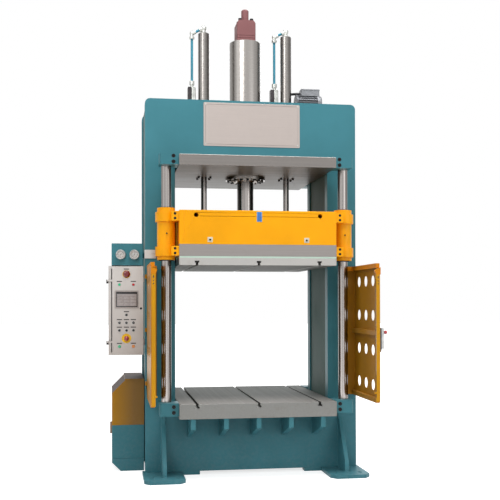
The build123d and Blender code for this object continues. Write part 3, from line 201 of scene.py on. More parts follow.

# Painted reflections of drawn bars: broad bright and dark bands, one after another round the bar, as if
# lamps and surroundings were mirrored in it: (share of a turn, brightness)
BARREL_REFLECTION_BANDS = ((0.00, 0.6), (0.10, 0.5), (0.15, 1.4), (0.20, 0.8), (0.30, 1.0), (0.40, 0.3),
                  (0.50, 0.6), (0.60, 1.2), (0.70, 0.5), (0.80, 1.2), (0.90, 0.4), (1.00, 0.6))
BAR_REFLECTION_BANDS = ((0.00, 0.7), (0.10, 0.4), (0.15, 1.2), (0.20, 0.7), (0.25, 1.2), (0.30, 0.5),
               (0.40, 0.3), (0.50, 0.8), (0.60, 1.2), (0.70, 0.5), (0.80, 1.1), (0.90, 0.4),
               (1.00, 0.7))


# Node helpers

def new_material(name):
    """An empty material with its tree and shader."""
    material = bpy.data.materials.new(name)
    material.use_nodes = True
    tree = material.node_tree
    return material, tree, tree.nodes["Principled BSDF"]


def fill(tree, made, inputs):
    """A node's inputs. Each is a value or another node's socket."""
    for name, value in inputs.items():
        if isinstance(value, bpy.types.NodeSocket):
            tree.links.new(value, made.inputs[name])
        else:
            made.inputs[name].default_value = value


def node(tree, kind, inputs=None, **settings):
    """A node with its settings and inputs."""
    made = tree.nodes.new(kind)
    for name, value in settings.items():
        setattr(made, name, value)
    fill(tree, made, inputs or {})
    return made


def object_place(tree, scale=(1, 1, 1)):
    """The place on the machine, stretched along each axis."""
    place = node(tree, "ShaderNodeTexCoord").outputs["Object"]
    return node(tree, "ShaderNodeMapping", {"Vector": place, "Scale": scale}).outputs["Vector"]


def axes(tree, vector):
    """The X, Y and Z of a vector."""
    return node(tree, "ShaderNodeSeparateXYZ", {"Vector": vector}).outputs


def noise(tree, place, scale, detail=2.0, roughness=0.5):
    """Smooth noise between 0 and 1."""
    made = node(tree, "ShaderNodeTexNoise", {"Vector": place, "Scale": scale, "Detail": detail,
                                             "Roughness": roughness})
    return made.outputs["Fac"]


def span(tree, value, low, high, out_low, out_high):
    """A value moved from one range to another and held inside it."""
    made = node(tree, "ShaderNodeMapRange", {"Value": value, "From Min": low, "From Max": high,
                                             "To Min": out_low, "To Max": out_high})
    return made.outputs["Result"]


def shades(tree, value, *stops):
    """A colour ramp from (position, colour) stops."""
    ramp = node(tree, "ShaderNodeValToRGB", {"Fac": value})
    while len(ramp.color_ramp.elements) < len(stops):
        ramp.color_ramp.elements.new(0.5)
    for element, (position, colour) in zip(ramp.color_ramp.elements, stops):
        element.position = position
        element.color = (*colour, 1)
    return ramp.outputs["Color"]


def mix(tree, share, first, second):
    """Two colours mixed. Each is a colour or a socket."""
    first, second = ((*c, 1) if isinstance(c, tuple) else c for c in (first, second))
    made = node(tree, "ShaderNodeMix", {0: share, 6: first, 7: second}, data_type="RGBA")
    return made.outputs[2]


def math_node(tree, operation, first, second=0.0):
    """Two values joined by an operation."""
    return node(tree, "ShaderNodeMath", {0: first, 1: second}, operation=operation).outputs["Value"]


def bump(tree, height, distance, strength, under=None):
    """A normal raised by a height, on top of another bump if one is given."""
    inputs = {"Height": height, "Distance": distance, "Strength": strength}
    if under is not None:
        inputs["Normal"] = under
    return node(tree, "ShaderNodeBump", inputs).outputs["Normal"]


def dim(colour, factor):
    """A colour, or other numbers, times a factor."""
    return tuple(c * factor for c in colour)


# Materials

def enamel(name, colour, roughness=0.38, grime=0.5, shade=None, reach=(0, 1)):
    """Sprayed machine enamel: orange peel, slow tone changes, dust low down and on ledges.
    A second, darker colour, if given, takes over along X from reach's first place to its second: painted
    light, brighter at the start as a painted sheen and darker at the end as painted shade."""
    material, tree, shader = new_material(name)
    place = object_place(tree)
    cloud = noise(tree, place, 1.7, 4.0, 0.55)
    speck = noise(tree, place, 34.0, 5.0, 0.65)
    peel = noise(tree, place, 420.0, 2.0)
    sag = noise(tree, object_place(tree, (1.0, 1.0, 0.35)), 6.0, 2.0)
    tone = shades(tree, cloud, (0.30, dim(colour, 0.90)), (0.52, colour), (0.74, dim(colour, 1.09)))
    parts = axes(tree, place)
    if shade:
        # Painted sheen turning to painted shade along X
        tone = mix(tree, span(tree, parts["X"], *reach, 0.0, 1.0), tone, shade)
    low_down = span(tree, parts["Z"], 0.0, 0.75, 0.55, 0.0)
    facing = node(tree, "ShaderNodeNewGeometry").outputs["Normal"]
    upward = span(tree, axes(tree, facing)["Z"], 0.4, 0.9, 0.0, 0.9)
    dusty = math_node(tree, "MAXIMUM", low_down, upward)
    patch = math_node(tree, "MULTIPLY", dusty, span(tree, speck, 0.42, 0.70, 0.0, grime))
    grey = tuple(0.55 * c + 0.45 * 0.30 for c in colour)
    gloss = math_node(tree, "ADD", span(tree, cloud, 0.3, 0.7, roughness - 0.06, roughness + 0.08),
                      math_node(tree, "MULTIPLY", patch, 0.35))
    slow = bump(tree, sag, 0.0012, 0.5)
    fill(tree, shader, {"Base Color": mix(tree, patch, tone, grey), "Roughness": gloss,
                        "Normal": bump(tree, peel, 0.00012, 0.35, slow), "Specular IOR Level": 0.22})
    return material


def ground_steel(name, colour, lines, roughness=0.34, stain=0.5, metallic=0.86, specular=0.5, rear=None):
    """Surface ground plate: fine lines along one axis, oil clouds and a few dull stains.
    A darker rear colour, if given, takes over towards the back of the machine as painted shade."""
    material, tree, shader = new_material(name)
    place = object_place(tree)
    line = noise(tree, object_place(tree, lines), 1.0, 6.0, 0.7)
    wide = noise(tree, object_place(tree, dim(lines, 0.12)), 1.0, 3.0, 0.6)
    cloud = noise(tree, place, 2.6, 5.0, 0.6)
    spot = noise(tree, place, 17.0, 6.0, 0.7)
    base = shades(tree, line, (0.25, dim(colour, 0.84)), (0.5, colour), (0.75, dim(colour, 1.12)))
    if rear:
        # Painted shade towards the back of the table
        depth = axes(tree, place)["Y"]
        base = mix(tree, span(tree, depth, table_low.y + 0.12, table_low.y + 0.75, 0.0, 1.0), base, rear)
    brown = (colour[0] * 0.72, colour[1] * 0.64, colour[2] * 0.55)
    marks = math_node(tree, "MULTIPLY", span(tree, spot, 0.55, 0.75, 0.0, stain),
                      span(tree, cloud, 0.4, 0.7, 0.1, 1.0))
    gloss = math_node(tree, "ADD", span(tree, wide, 0.3, 0.7, roughness - 0.07, roughness + 0.07),
                      math_node(tree, "MULTIPLY", cloud, 0.10))
    fill(tree, shader, {"Base Color": mix(tree, marks, base, brown), "Roughness": gloss,
                        "Normal": bump(tree, line, 0.00006, 0.5), "Metallic": metallic,
                        "Specular IOR Level": specular})
    return material


def turned_steel(name, colour, centre, roughness, reflection_bands=BAR_REFLECTION_BANDS):
    """Bright turned steel: fine rings round the bar, and painted reflections along it: bright and dark
    bands round the bar with fine browner tints.
    The bars stand at centre and at its mirror images in X and Y."""
    material, tree, shader = new_material(name)
    rings = noise(tree, object_place(tree, (6.0, 6.0, 900.0)), 1.0, 3.0, 0.6)
    parts = axes(tree, object_place(tree))
    east, north = (beside(tree, parts[axis], offset) for axis, offset in zip("XY", centre))
    turn = math_node(tree, "ARCTAN2", north, east)
    rise = math_node(tree, "MULTIPLY", parts["Z"], 0.12)
    around = node(tree, "ShaderNodeCombineXYZ", {"X": turn, "Z": rise}).outputs["Vector"]
    waver = span(tree, noise(tree, around, 5.0, 3.0, 0.6), 0.3, 0.7, -0.010, 0.010)
    share = math_node(tree, "ADD", span(tree, turn, -math.pi, math.pi, 0.0, 1.0), waver)
    # Painted reflection: the brightness of each band round the bar
    bands = ((place, tuple(min(0.95, c * bright) for c in colour)) for place, bright in reflection_bands)
    tone = shades(tree, share, *bands)
    # Painted reflection: fine browner tints along the bar
    fine = noise(tree, around, 16.0, 3.0, 0.6)
    reflected_warm_tint = (colour[0] * 0.78, colour[1] * 0.72, colour[2] * 0.68)
    tone = mix(tree, span(tree, fine, 0.35, 0.65, 0.0, 0.3), tone, reflected_warm_tint)
    gloss = span(tree, rings, 0.3, 0.7, roughness - 0.05, roughness + 0.06)
    fill(tree, shader, {"Base Color": tone, "Roughness": gloss,
                        "Normal": bump(tree, rings, 0.00005, 0.45), "Metallic": 1.0})
    return material


def beside(tree, place, offset):
    """Distance along an axis from a bar that stands at offset, and from its twin at minus offset."""
    if not offset:
        return place
    side = math_node(tree, "SIGN", place)
    return math_node(tree, "SUBTRACT", place, math_node(tree, "MULTIPLY", side, offset))


def brushed_sheet(name, colour, lines, foot=None):
    """Brushed stainless sheet with straight fine lines and faint wipe marks.
    A darker foot colour, if given, takes over towards the cabinet's foot as painted shade."""
    material, tree, shader = new_material(name)
    line = noise(tree, object_place(tree, lines), 1.0, 5.0, 0.75)
    wipe = noise(tree, object_place(tree, (2.0, 2.0, 1.1)), 1.6, 3.0, 0.5)
    tone = shades(tree, line, (0.3, dim(colour, 0.9)), (0.5, colour), (0.7, dim(colour, 1.08)))
    if foot:
        rise = axes(tree, object_place(tree))["Z"]
        # Painted shade, darker towards the door's foot
        tone = mix(tree, span(tree, rise, door_low.z, door_high.z - 0.15, 1.0, 0.0), tone, foot)
    tone = mix(tree, span(tree, wipe, 0.40, 0.70, 0.0, 0.5), tone, dim(colour, 0.84))
    gloss = math_node(tree, "ADD", span(tree, line, 0.3, 0.7, 0.29, 0.39),
                      span(tree, wipe, 0.3, 0.7, -0.04, 0.08))
    fill(tree, shader, {"Base Color": tone, "Roughness": gloss,
                        "Normal": bump(tree, line, 0.00004, 0.5), "Metallic": 0.88})
    return material


def cast_metal(name, colour, roughness, grain, depth=0.0002, metallic=0.9):
    """Machined or die-cast fittings with a fine grain."""
    material, tree, shader = new_material(name)
    place = object_place(tree)
    fine = noise(tree, place, grain, 3.0, 0.6)
    cloud = noise(tree, place, 22.0, 3.0)
    tone = shades(tree, cloud, (0.3, dim(colour, 0.8)), (0.7, dim(colour, 1.12)))
    gloss = span(tree, cloud, 0.3, 0.7, roughness - 0.08, roughness + 0.08)
    fill(tree, shader, {"Base Color": tone, "Roughness": gloss, "Normal": bump(tree, fine, depth, 0.4),
                        "Metallic": metallic})
    return material


def moulded(name, colour, roughness, coat=0.0, glow=0.0, grain=900.0):
    """Moulded plastic with a fine grain and slight handling marks."""
    material, tree, shader = new_material(name)
    place = object_place(tree)
    fine = noise(tree, place, grain, 2.0)
    cloud = noise(tree, place, 60.0, 4.0, 0.6)
    tone = shades(tree, cloud, (0.3, dim(colour, 0.85)), (0.7, dim(colour, 1.1)))
    gloss = span(tree, cloud, 0.3, 0.7, roughness - 0.06, roughness + 0.1)
    fill(tree, shader, {"Base Color": tone, "Roughness": gloss, "Normal": bump(tree, fine, 0.00008, 0.3),
                        "Coat Weight": coat})
    if glow:
        fill(tree, shader, {"Emission Color": (*colour, 1), "Emission Strength": glow})
    return material


def pressed_board(name, colour):
    """Layered insulation board: thin plies along its edge and a fibrous face."""
    material, tree, shader = new_material(name)
    plies = noise(tree, object_place(tree, (3.0, 3.0, 700.0)), 1.0, 3.0, 0.6)
    fibre = noise(tree, object_place(tree), 160.0, 4.0, 0.7)
    tone = shades(tree, plies, (0.3, dim(colour, 0.72)), (0.55, colour), (0.8, dim(colour, 1.12)))
    tone = mix(tree, span(tree, fibre, 0.4, 0.7, 0.0, 0.3), tone, dim(colour, 0.8))
    fill(tree, shader, {"Base Color": tone, "Roughness": 0.62, "Normal": bump(tree, plies, 0.0002, 0.5)})
    return material


def ribbed_hose(name, colour):
    """Black conduit with ribs along it."""
    material, tree, shader = new_material(name)
    place = object_place(tree)
    wave = node(tree, "ShaderNodeTexWave", {"Vector": place, "Scale": 38.0, "Distortion": 0.0},
                bands_direction="DIAGONAL")
    fine = noise(tree, place, 300.0, 2.0)
    tone = shades(tree, fine, (0.3, dim(colour, 0.7)), (0.7, dim(colour, 1.5)))
    fill(tree, shader, {"Base Color": tone, "Roughness": 0.5,
                        "Normal": bump(tree, wave.outputs["Fac"], 0.0015, 0.8)})
    return material


def clear_cover(name):
    """A thin clear pane."""
    material, tree, shader = new_material(name)
    smear = noise(tree, object_place(tree), 40.0, 3.0)
    fill(tree, shader, {"Base Color": (0.95, 0.97, 0.97, 1), "Alpha": 0.16, "Specular IOR Level": 0.6,
                        "Roughness": span(tree, smear, 0.3, 0.7, 0.03, 0.10)})
    return material


def screen_glass(name, colour):
    """The lit display behind its touch glass, with faint smears."""
    material, tree, shader = new_material(name)
    smear = noise(tree, object_place(tree), 26.0, 4.0, 0.6)
    tone = shades(tree, smear, (0.3, dim(colour, 0.86)), (0.7, dim(colour, 1.08)))
    fill(tree, shader, {"Base Color": tone, "Roughness": span(tree, smear, 0.3, 0.7, 0.12, 0.26),
                        "Coat Weight": 0.5, "Coat Roughness": 0.06})
    return material


def make_materials():
    """Every look by name."""
    columns = (COLUMN_X, COLUMN_Y)
    rods = (ROD_X, 0)
    return {
        "teal": enamel("teal_enamel", TEAL),
        "grey": enamel("grey_primer", WALL_GREY, 0.62, 0.4),
        "yellow": enamel("safety_yellow_enamel", SAFETY_YELLOW, 0.34, 0.35),
        "shaded_guard_sheet": enamel("guard_sheet_enamel", SHADED_SHEET_YELLOW, 0.36, 0.5),
        "cover": enamel("tank_cover_enamel", COVER_YELLOW, 0.36, 0.5, COVER_PAINTED_SHADE,
                        (tank_low.x, tank_high.x - 0.10)),
        "cover_top": enamel("tank_cover_top_enamel", COVER_TOP, 0.62, 0.25),
        "slide": enamel("slide_yellow_enamel", SLIDE_YELLOW, 0.36, 0.25),
        "bar_yellow": enamel("light_bar_yellow", (0.58, 0.27, 0.003), 0.34, 0.2),
        "red": enamel("valve_red_enamel", VALVE_RED, 0.52, 0.8),
        "ground": ground_steel("ground_steel", GROUND_STEEL, (500.0, 2.0, 500.0)),
        "table": ground_steel("table_steel", TABLE_STEEL, LINES_Y, 0.42, 0.6),
        "table_top": ground_steel("table_top_steel", TABLE_TOP, LINES_Y, 0.62, 0.6, 0.25, 0.2, TABLE_REAR_SHADE),
        "bolster": ground_steel("bolster_steel", (0.27, 0.25, 0.238), LINES_X, 0.40, 0.3),
        "platen_under_shade": ground_steel("platen_underside_shade_steel", PLATEN_UNDER_SHADE, LINES_Y, 0.62, 0.5, 0.2, 0.15),
        "crown_under_shade": ground_steel("crown_underside_shade_steel", CROWN_UNDER_SHADE, LINES_X, 0.36, 0.5, 0.4, 0.3),
        "crown": ground_steel("crown_plate_steel", CROWN_STEEL, LINES_X, 0.16, 0.25),
        "barrel": turned_steel("barrel_steel", BARREL_STEEL, (0, 0), 0.26, BARREL_REFLECTION_BANDS),
        "side_barrel": turned_steel("side_barrel_steel", dim(BARREL_STEEL, 0.72), rods, 0.28),
        "chrome": turned_steel("column_chrome", CHROME, columns, 0.18),
        "rod": turned_steel("rod_chrome", CHROME, rods, 0.16),
        "ram": turned_steel("ram_chrome", CHROME, (0, 0), 0.16),
        "plate": brushed_sheet("nameplate_stainless", (0.50, 0.44, 0.41), (2.0, 2.0, 900.0)),
        "stainless": brushed_sheet("cabinet_stainless", STAINLESS, (900.0, 900.0, 2.0), STAINLESS_FOOT_SHADE),
        "black_screw": cast_metal("black_oxide", (0.012, 0.012, 0.013), 0.42, 500.0, 0.0001, 0.6),
        "zinc": cast_metal("machined_zinc", (0.52, 0.53, 0.50), 0.36, 340.0),
        "dark_valve": cast_metal("dark_valve", (0.055, 0.050, 0.052), 0.5, 340.0),
        "motor": cast_metal("motor_casting", (0.105, 0.108, 0.118), 0.50, 240.0, 0.0004, 0.5),
        "motor_box": cast_metal("motor_box_casting", (0.22, 0.225, 0.24), 0.5, 240.0, 0.0003, 0.4),
        "conduit": ribbed_hose("black_conduit", (0.012, 0.012, 0.013)),
        "board": pressed_board("insulation_board", BOARD_GREEN),
        "bronze": cast_metal("bush_bronze", (0.45, 0.25, 0.09), 0.32, 400.0),
        "bezel": cast_metal("satin_bezel", (0.45, 0.45, 0.44), 0.3, 600.0, 0.00005),
        "black": moulded("black_plastic", (0.012, 0.011, 0.012), 0.38),
        "screen_case": moulded("screen_case_grey", (0.36, 0.325, 0.31), 0.45),
        "screen": screen_glass("screen_glass", (0.33, 0.295, 0.29)),
        "field": moulded("screen_field", (0.355, 0.32, 0.315), 0.3),
        "label": moulded("legend_black", (0.010, 0.010, 0.011), 0.35),
        "red_button": moulded("button_red", (0.50, 0.006, 0.010), 0.26, 0.4),
        "upper_head": moulded("estop_head_dark_red", (0.17, 0.002, 0.004), 0.22, 0.5),
        "lower_head": moulded("estop_head_pale_red", (0.36, 0.040, 0.055), 0.30, 0.3),
        "knob_red": moulded("knob_red", (0.46, 0.020, 0.028), 0.28, 0.4),
        "scale": moulded("gauge_scale_band", (0.22, 0.16, 0.125), 0.5),
        "green_button": moulded("button_green", (0.008, 0.42, 0.19), 0.28, 0.4, 0.25),
        "green_lamp": moulded("lamp_green", (0.05, 0.36, 0.18), 0.16, 0.7, 0.15),
        "amber_lamp": moulded("lamp_amber", (0.52, 0.16, 0.010), 0.16, 0.7, 0.15),
        "estop_yellow": moulded("estop_disc_yellow", (0.86, 0.50, 0.01), 0.38),
        "dial": moulded("gauge_dial", (0.52, 0.50, 0.47), 0.5),
        "ink": moulded("gauge_ink", (0.015, 0.015, 0.018), 0.5),
        "pane": clear_cover("gauge_pane"),
        "rubber": moulded("wiper_rubber", (0.014, 0.014, 0.015), 0.62),
        "blue_plate": moulded("blue_plate", (0.035, 0.16, 0.50), 0.35, 0.2, grain=700.0),
        "sign_back": moulded("sign_back_blue", (0.16, 0.36, 0.60), 0.4),
        "pale_label": moulded("pale_label", (0.62, 0.58, 0.46), 0.5),
        "lock": cast_metal("lock_grey", (0.06, 0.062, 0.07), 0.4, 400.0, 0.0001, 0.5),
        "lens": moulded("light_bar_lens", (0.030, 0.006, 0.008), 0.12, 0.6),
        "pipe": enamel("pipe_enamel", (0.045, 0.225, 0.31), 0.36, 0.3),
        "latch": cast_metal("latch_steel", (0.20, 0.14, 0.10), 0.4, 400.0, 0.0001),
    }


# Mesh helpers

def new_object(name, data):
    """An object in the scene."""
    made = bpy.data.objects.new(name, data)
    bpy.context.scene.collection.objects.link(made)
    return made


def to_mesh(name, shape):
    """The mesh of a finished shape."""
    mesh = bpy.data.meshes.new(name)
    shape.to_mesh(mesh)
    shape.free()
    return mesh


def attach(name, data, material, body, place=(0, 0, 0), turn=(0, 0, 0)):
    """A new piece that rides on a body, with the given material in its own slot."""
    made = new_object(name, data)
    made.location = place
    made.rotation_euler = turn
    data.materials.append(material)
    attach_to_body(made, body)
    return made


def make_object(name, mesh, material, body, smooth=True):
    """A mesh piece that rides on a body."""
    made = attach(name, mesh, material, body)
    if smooth:
        mesh.shade_smooth()
    return made


def soften(piece, width):
    """Rounded edges with clean shading."""
    edge = piece.modifiers.new("edge", "BEVEL")
    edge.width = width
    edge.segments = 2
    edge.limit_method = "ANGLE"
    edge.angle_limit = math.radians(35)
    edge.harden_normals = False
    weights = piece.modifiers.new("weights", "WEIGHTED_NORMAL")
    weights.keep_sharp = False


def plate(name, low, high, material, body, edge):
    """A rectangular plate between two corners with rounded edges."""
    shape = bmesh.new()
    bmesh.ops.create_cube(shape, size=1.0)
    size = [b - a for a, b in zip(low, high)]
    centre = [(a + b) / 2 for a, b in zip(low, high)]
    for vertex in shape.verts:
        vertex.co = Vector([c + v * s for c, v, s in zip(centre, vertex.co, size)])
    bmesh.ops.bevel(shape, geom=shape.edges[:], offset=edge, segments=3, profile=0.5, affect="EDGES")
    return make_object(name, to_mesh(name, shape), material, body)


def lathe(name, profile, place, towards, material, body, steps=48):
    """A turned piece from (radius, height) pairs. Height runs along towards from place."""
    shape = bmesh.new()
    turn = Vector((0, 0, 1)).rotation_difference(Vector(towards)).to_matrix()
    rings = []
    for radius, height in profile:
        if radius < 1e-6:
            rings.append([shape.verts.new(turn @ Vector((0, 0, height)) + Vector(place))])
            continue
        ring = []
        for i in range(steps):
            a = 2 * math.pi * i / steps
            point = Vector((radius * math.cos(a), radius * math.sin(a), height))
            ring.append(shape.verts.new(turn @ point + Vector(place)))
        rings.append(ring)
    for low, high in zip(rings, rings[1:]):
        for i in range(steps):
            j = (i + 1) % steps
            if len(low) == 1:
                shape.faces.new((low[0], high[j], high[i]))
            elif len(high) == 1:
                shape.faces.new((low[i], low[j], high[0]))
            else:
                shape.faces.new((low[i], low[j], high[j], high[i]))
    bmesh.ops.remove_doubles(shape, verts=shape.verts[:], dist=1e-6)
    bmesh.ops.recalc_face_normals(shape, faces=shape.faces[:])
    made = make_object(name, to_mesh(name, shape), material, body)
    made.modifiers.new("weights", "WEIGHTED_NORMAL")
    return made


def tube(name, points, radius, material, body, cyclic=False):
    """A round bead through points."""
    curve = bpy.data.curves.new(name, "CURVE")
    curve.dimensions = "3D"
    curve.bevel_depth = radius
    curve.bevel_resolution = 3
    curve.use_fill_caps = True
    line = curve.splines.new("POLY")
    line.points.add(len(points) - 1)
    for spot, point in zip(line.points, points):
        spot.co = (*point, 1)
    line.use_cyclic_u = cyclic
    return attach(name, curve, material, body)


def weld_bead(name, start, end, material, body, radius, seed):
    """A fillet weld: a bead with its ripples, as one mesh."""
    start, end = Vector(start), Vector(end)
    length = (end - start).length
    count = max(4, int(length / (radius * 0.9)))
    sides = 8
    chance = random.Random(seed)
    shape = bmesh.new()
    turn = Vector((0, 0, 1)).rotation_difference((end - start).normalized()).to_matrix()
    rings = []
    for i in range(count + 1):
        width = radius * (0.92 + 0.12 * math.sin(i * 2.1) + chance.uniform(-0.05, 0.05))
        centre = start.lerp(end, i / count)
        ring = []
        for k in range(sides):
            a = 2 * math.pi * k / sides
            point = Vector((width * math.cos(a), width * math.sin(a), 0))
            ring.append(shape.verts.new(centre + turn @ point))
        rings.append(ring)
    for low, high in zip(rings, rings[1:]):
        for k in range(sides):
            following = (k + 1) % sides
            shape.faces.new((low[k], low[following], high[following], high[k]))
    shape.faces.new(rings[0][::-1])
    shape.faces.new(rings[-1])
    return make_object(name, to_mesh(name, shape), material, body)


# Finish of the CAD nodes

# Groups of CAD nodes by look and by how wide their edges are rounded
NODE_FINISHES = (
    ("teal", 0.003, "front_portal rear_portal foot_plates"),
    ("teal", 0.0025, "column_clamps"),
    ("teal", 0.002, "table_ribs gauge_box oil_tank"),
    ("teal", 0.001, "hinge_posts"),
    ("grey", 0, "upright_walls"),
    ("grey", 0.001, "crown_box bed_box"),
    ("crown", 0.0015, "crown_plate"),
    ("table", 0.0015, "table"),
    ("chrome", 0, "guide_columns"),
    ("black_screw", 0.0008, "frame_bolts slide_bolts"),
    ("barrel", 0, "main_cylinder"),
    ("side_barrel", 0, "side_cylinders"),
    ("ram", 0, "ram"),
    ("rod", 0, "side_rods"),
    ("ground", 0.0008, "gland_ring"),
    ("ground", 0.001, "platen"),
    ("red", 0.002, "prefill_valve"),
    ("zinc", 0.001, "hose_fittings"),
    ("pipe", 0, "transfer_pipes"),
    ("motor", 0.001, "circulation_motor"),
    ("conduit", 0, "motor_conduit"),
    ("plate", 0.0006, "nameplate"),
    ("stainless", 0.001, "limit_rail"),
    ("stainless", 0.0008, "control_cabinet"),
    ("stainless", 0.0006, "cabinet_door"),
    ("bezel", 0.0005, "pressure_gauges"),
    ("bezel", 0.0004, "button_rings"),
    ("cover", 0.001, "tank_cover"),
    ("slide", 0.002, "slide_beam guide_housings"),
    ("bolster", 0.0015, "bolster_plate"),
    ("board", 0.0005, "insulation_board"),
    ("bronze", 0, "guide_bushes"),
    ("yellow", 0.0012, "left_guard right_guard"),
    ("bar_yellow", 0.0008, "left_light_bar right_light_bar"),
    ("lock", 0.001, "guard_latch"),
    ("knob_red", 0, "latch_knob"),
    ("screen_case", 0.0008, "operator_screen"),
    ("green_lamp", 0, "pilot_lamps"),
    ("upper_head", 0.0006, "estop_upper"),
    ("lower_head", 0.0006, "estop_lower"),
    ("green_button", 0.0006, "start_button"),
    ("red_button", 0.0006, "stop_button"),
    ("black", 0.0006, "reset_button jog_button_left jog_button_middle jog_button_right"),
    ("black", 0.0006, "selector_left selector_middle selector_right"),
    ("ink", 0, "left_gauge_needle right_gauge_needle"),
)


def dress_cad_nodes(looks):
    """Each CAD node's finish, with its edges rounded."""
    for look, edge, names in NODE_FINISHES:
        for name in names.split():
            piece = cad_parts[name]
            piece.data.materials.clear()
            piece.data.materials.append(looks[look])
            if edge:
                weld = piece.modifiers.new("weld", "WELD")
                weld.merge_threshold = 0.00002
                soften(piece, edge)


def paint_faces(node_name, looks, second, chosen):
    """A second look, or more, for the faces of a CAD node that chosen picks by place and normal."""
    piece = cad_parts[node_name]
    for look in second:
        piece.data.materials.append(looks[look])
    for face in piece.data.polygons:
        face.material_index = chosen(face.center, face.normal)


def middle(node_name):
    """The centre of a node's box."""
    low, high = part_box(node_name)
    return (low + high) / 2


def apart(place, centre):
    """Distance from a centre in the plane of the door."""
    return math.hypot(place.x - centre.x, place.z - centre.z)


def two_tone_nodes(looks):
    """Nodes that hold parts of different finish."""
    estops = [middle("estop_upper"), middle("estop_lower")]
    buttons = [middle(name) for name in SMALL_CONTROLS]
    lamps_x = (lamps_low.x + lamps_high.x) / 2
    lamps_z = lamps_low.z + BEZEL_RADIUS

    def panel_part(place, normal):
        """Black collars and legends, the yellow discs, and the bezels."""
        from_estop = min(apart(place, c) for c in estops)
        if from_estop < ESTOP_COLLAR_REACH:
            return 1
        if from_estop < ESTOP_DISC_REACH and place.z < estops[0].z + ESTOP_DISC_TOP:
            return 2
        return 0 if min(apart(place, c) for c in buttons) < BEZEL_REACH else 1

    def lamp_part(place, normal):
        """The legends, the bezels, and a green and an amber lens."""
        if place.z > lamps_z + BEZEL_REACH:
            return 3
        if place.y > door_face - LAMP_BEZEL_HEIGHT:
            return 2
        return 0 if place.x < lamps_x else 1

    paint_faces("button_rings", looks, ("black", "estop_yellow"), panel_part)
    paint_faces("pilot_lamps", looks, ("amber_lamp", "bezel", "label"), lamp_part)
    for name in ("control_cabinet", "cabinet_door"):
        paint_faces(name, looks, ("black",), lambda place, normal: int(place.x < CABINET_LEFT - NEAR))
    paint_faces("circulation_motor", looks, ("motor_box",),
                lambda place, normal: int(place.z > motor_high.z - TERMINAL_BOX_DEPTH))
    paint_faces("table", looks, ("table_top",), lambda place, normal: int(place.z > table_high.z - NEAR))
    # Painted shade on the faces that look down
    paint_faces("platen", looks, ("platen_under_shade",), underside)
    paint_faces("crown_plate", looks, ("crown_under_shade",), underside)
    paint_faces("prefill_valve", looks, ("black_screw",), valve_screw_part)
    paint_faces("hose_fittings", looks, ("dark_valve",), dark_valve_part)
    paint_faces("guard_latch", looks, ("bezel",), lambda place, normal: int(place.x > KEEPER_X))
    paint_faces("tank_cover", looks, ("cover_top", "latch"), cover_part)
    # Painted shade on each guard below its top band
    for name in ("left_guard", "right_guard"):
        paint_faces(name, looks, ("shaded_guard_sheet",), guard_shaded_part)


def underside(place, normal):
    """Faces that look down, which take a darker copy of their steel as painted shade."""
    return int(normal.z < -0.9)


def valve_screw_part(place, normal):
    """The four screw heads on top of the prefill valve."""
    corner = math.hypot(abs(place.x) - VALVE_SCREW, abs(place.y) - VALVE_SCREW)
    return int(corner < VALVE_SCREW_REACH and place.z > VALVE_TOP + 0.0002)


def dark_valve_part(place, normal):
    """The dark valve beside each pipe's block."""
    offset = min(abs(place.x - x + DARK_VALVE_X) for x in (-ROD_X, ROD_X))
    return int(offset < DARK_VALVE_HALF and place.z < cover_plate_z + DARK_VALVE_RISE)


def cover_part(place, normal):
    """The tank cover's slope and top, and its latch."""
    if place.x < tank_low.x - NEAR:
        return 2
    return int(normal.z > 0.3)


def guard_shaded_part(place, normal):
    """A guard's sheet, flange and rails below its top band, which take a darker copy of the yellow as
    painted shade.
    """
    leaf = GUARD_FRONT < place.y < GUARD_BACK
    return int(leaf and place.z < guard_top - GUARD_BAND)


# Pieces on the control panel

def scale_turn(step, steps):
    """The angle at a step of the gauge's scale."""
    return math.radians(SCALE_START - SCALE_SWEEP * step / steps)


def on_dial(centre, radius, step, steps):
    """A place just in front of the dial's face, at a step of its scale."""
    turn = scale_turn(step, steps)
    return (centre.x + radius * math.cos(turn), centre.y - 0.0004, centre.z + radius * math.sin(turn))


def washer(inner, outer, low, high):
    """The profile of a flat ring."""
    return [(inner, low), (outer, low), (outer, high), (inner, high), (inner, low)]


def dial(name, centre, looks):
    """A gauge's dial with its scale, numbers and pane."""
    disc = washer(DIAL_HOLE, DIAL_RADIUS, 0, 0.0003)
    lathe(name + "_dial", disc, centre, FORWARD, looks["dial"], FRAME, 64)
    band = washer(BAND_INNER, BAND_OUTER, 0.0002, 0.0005)
    lathe(name + "_scale_band", band, centre, FORWARD, looks["scale"], FRAME, 64)
    arc = [on_dial(centre, SCALE_RADIUS, i, 60) for i in range(61)]
    tube(name + "_scale_arc", arc, 0.0005, looks["ink"], FRAME)
    marks = []
    for i in range(31):
        inner, half = (0.0275, 0.0006) if i % 5 == 0 else (0.0305, 0.0003)
        marks.append((scale_turn(i, 30), inner, SCALE_RADIUS, half))
    radial_marks(name + "_marks", centre, marks, looks["ink"])
    for i in range(7):
        spot = on_dial(centre, NUMBER_RADIUS, i, 6)
        number(f"{name}_number_{i}", str(10 * i), spot, NUMBER_SIZE, looks["ink"])
    radius = DIAL_RADIUS - 0.0002
    glass = [(0, 0), (radius, 0), (radius, 0.0012), (0, 0.0012)]
    spot = (centre.x, centre.y - PANE_OUT, centre.z)
    lathe(name + "_pane", glass, spot, FORWARD, looks["pane"], FRAME, 64)


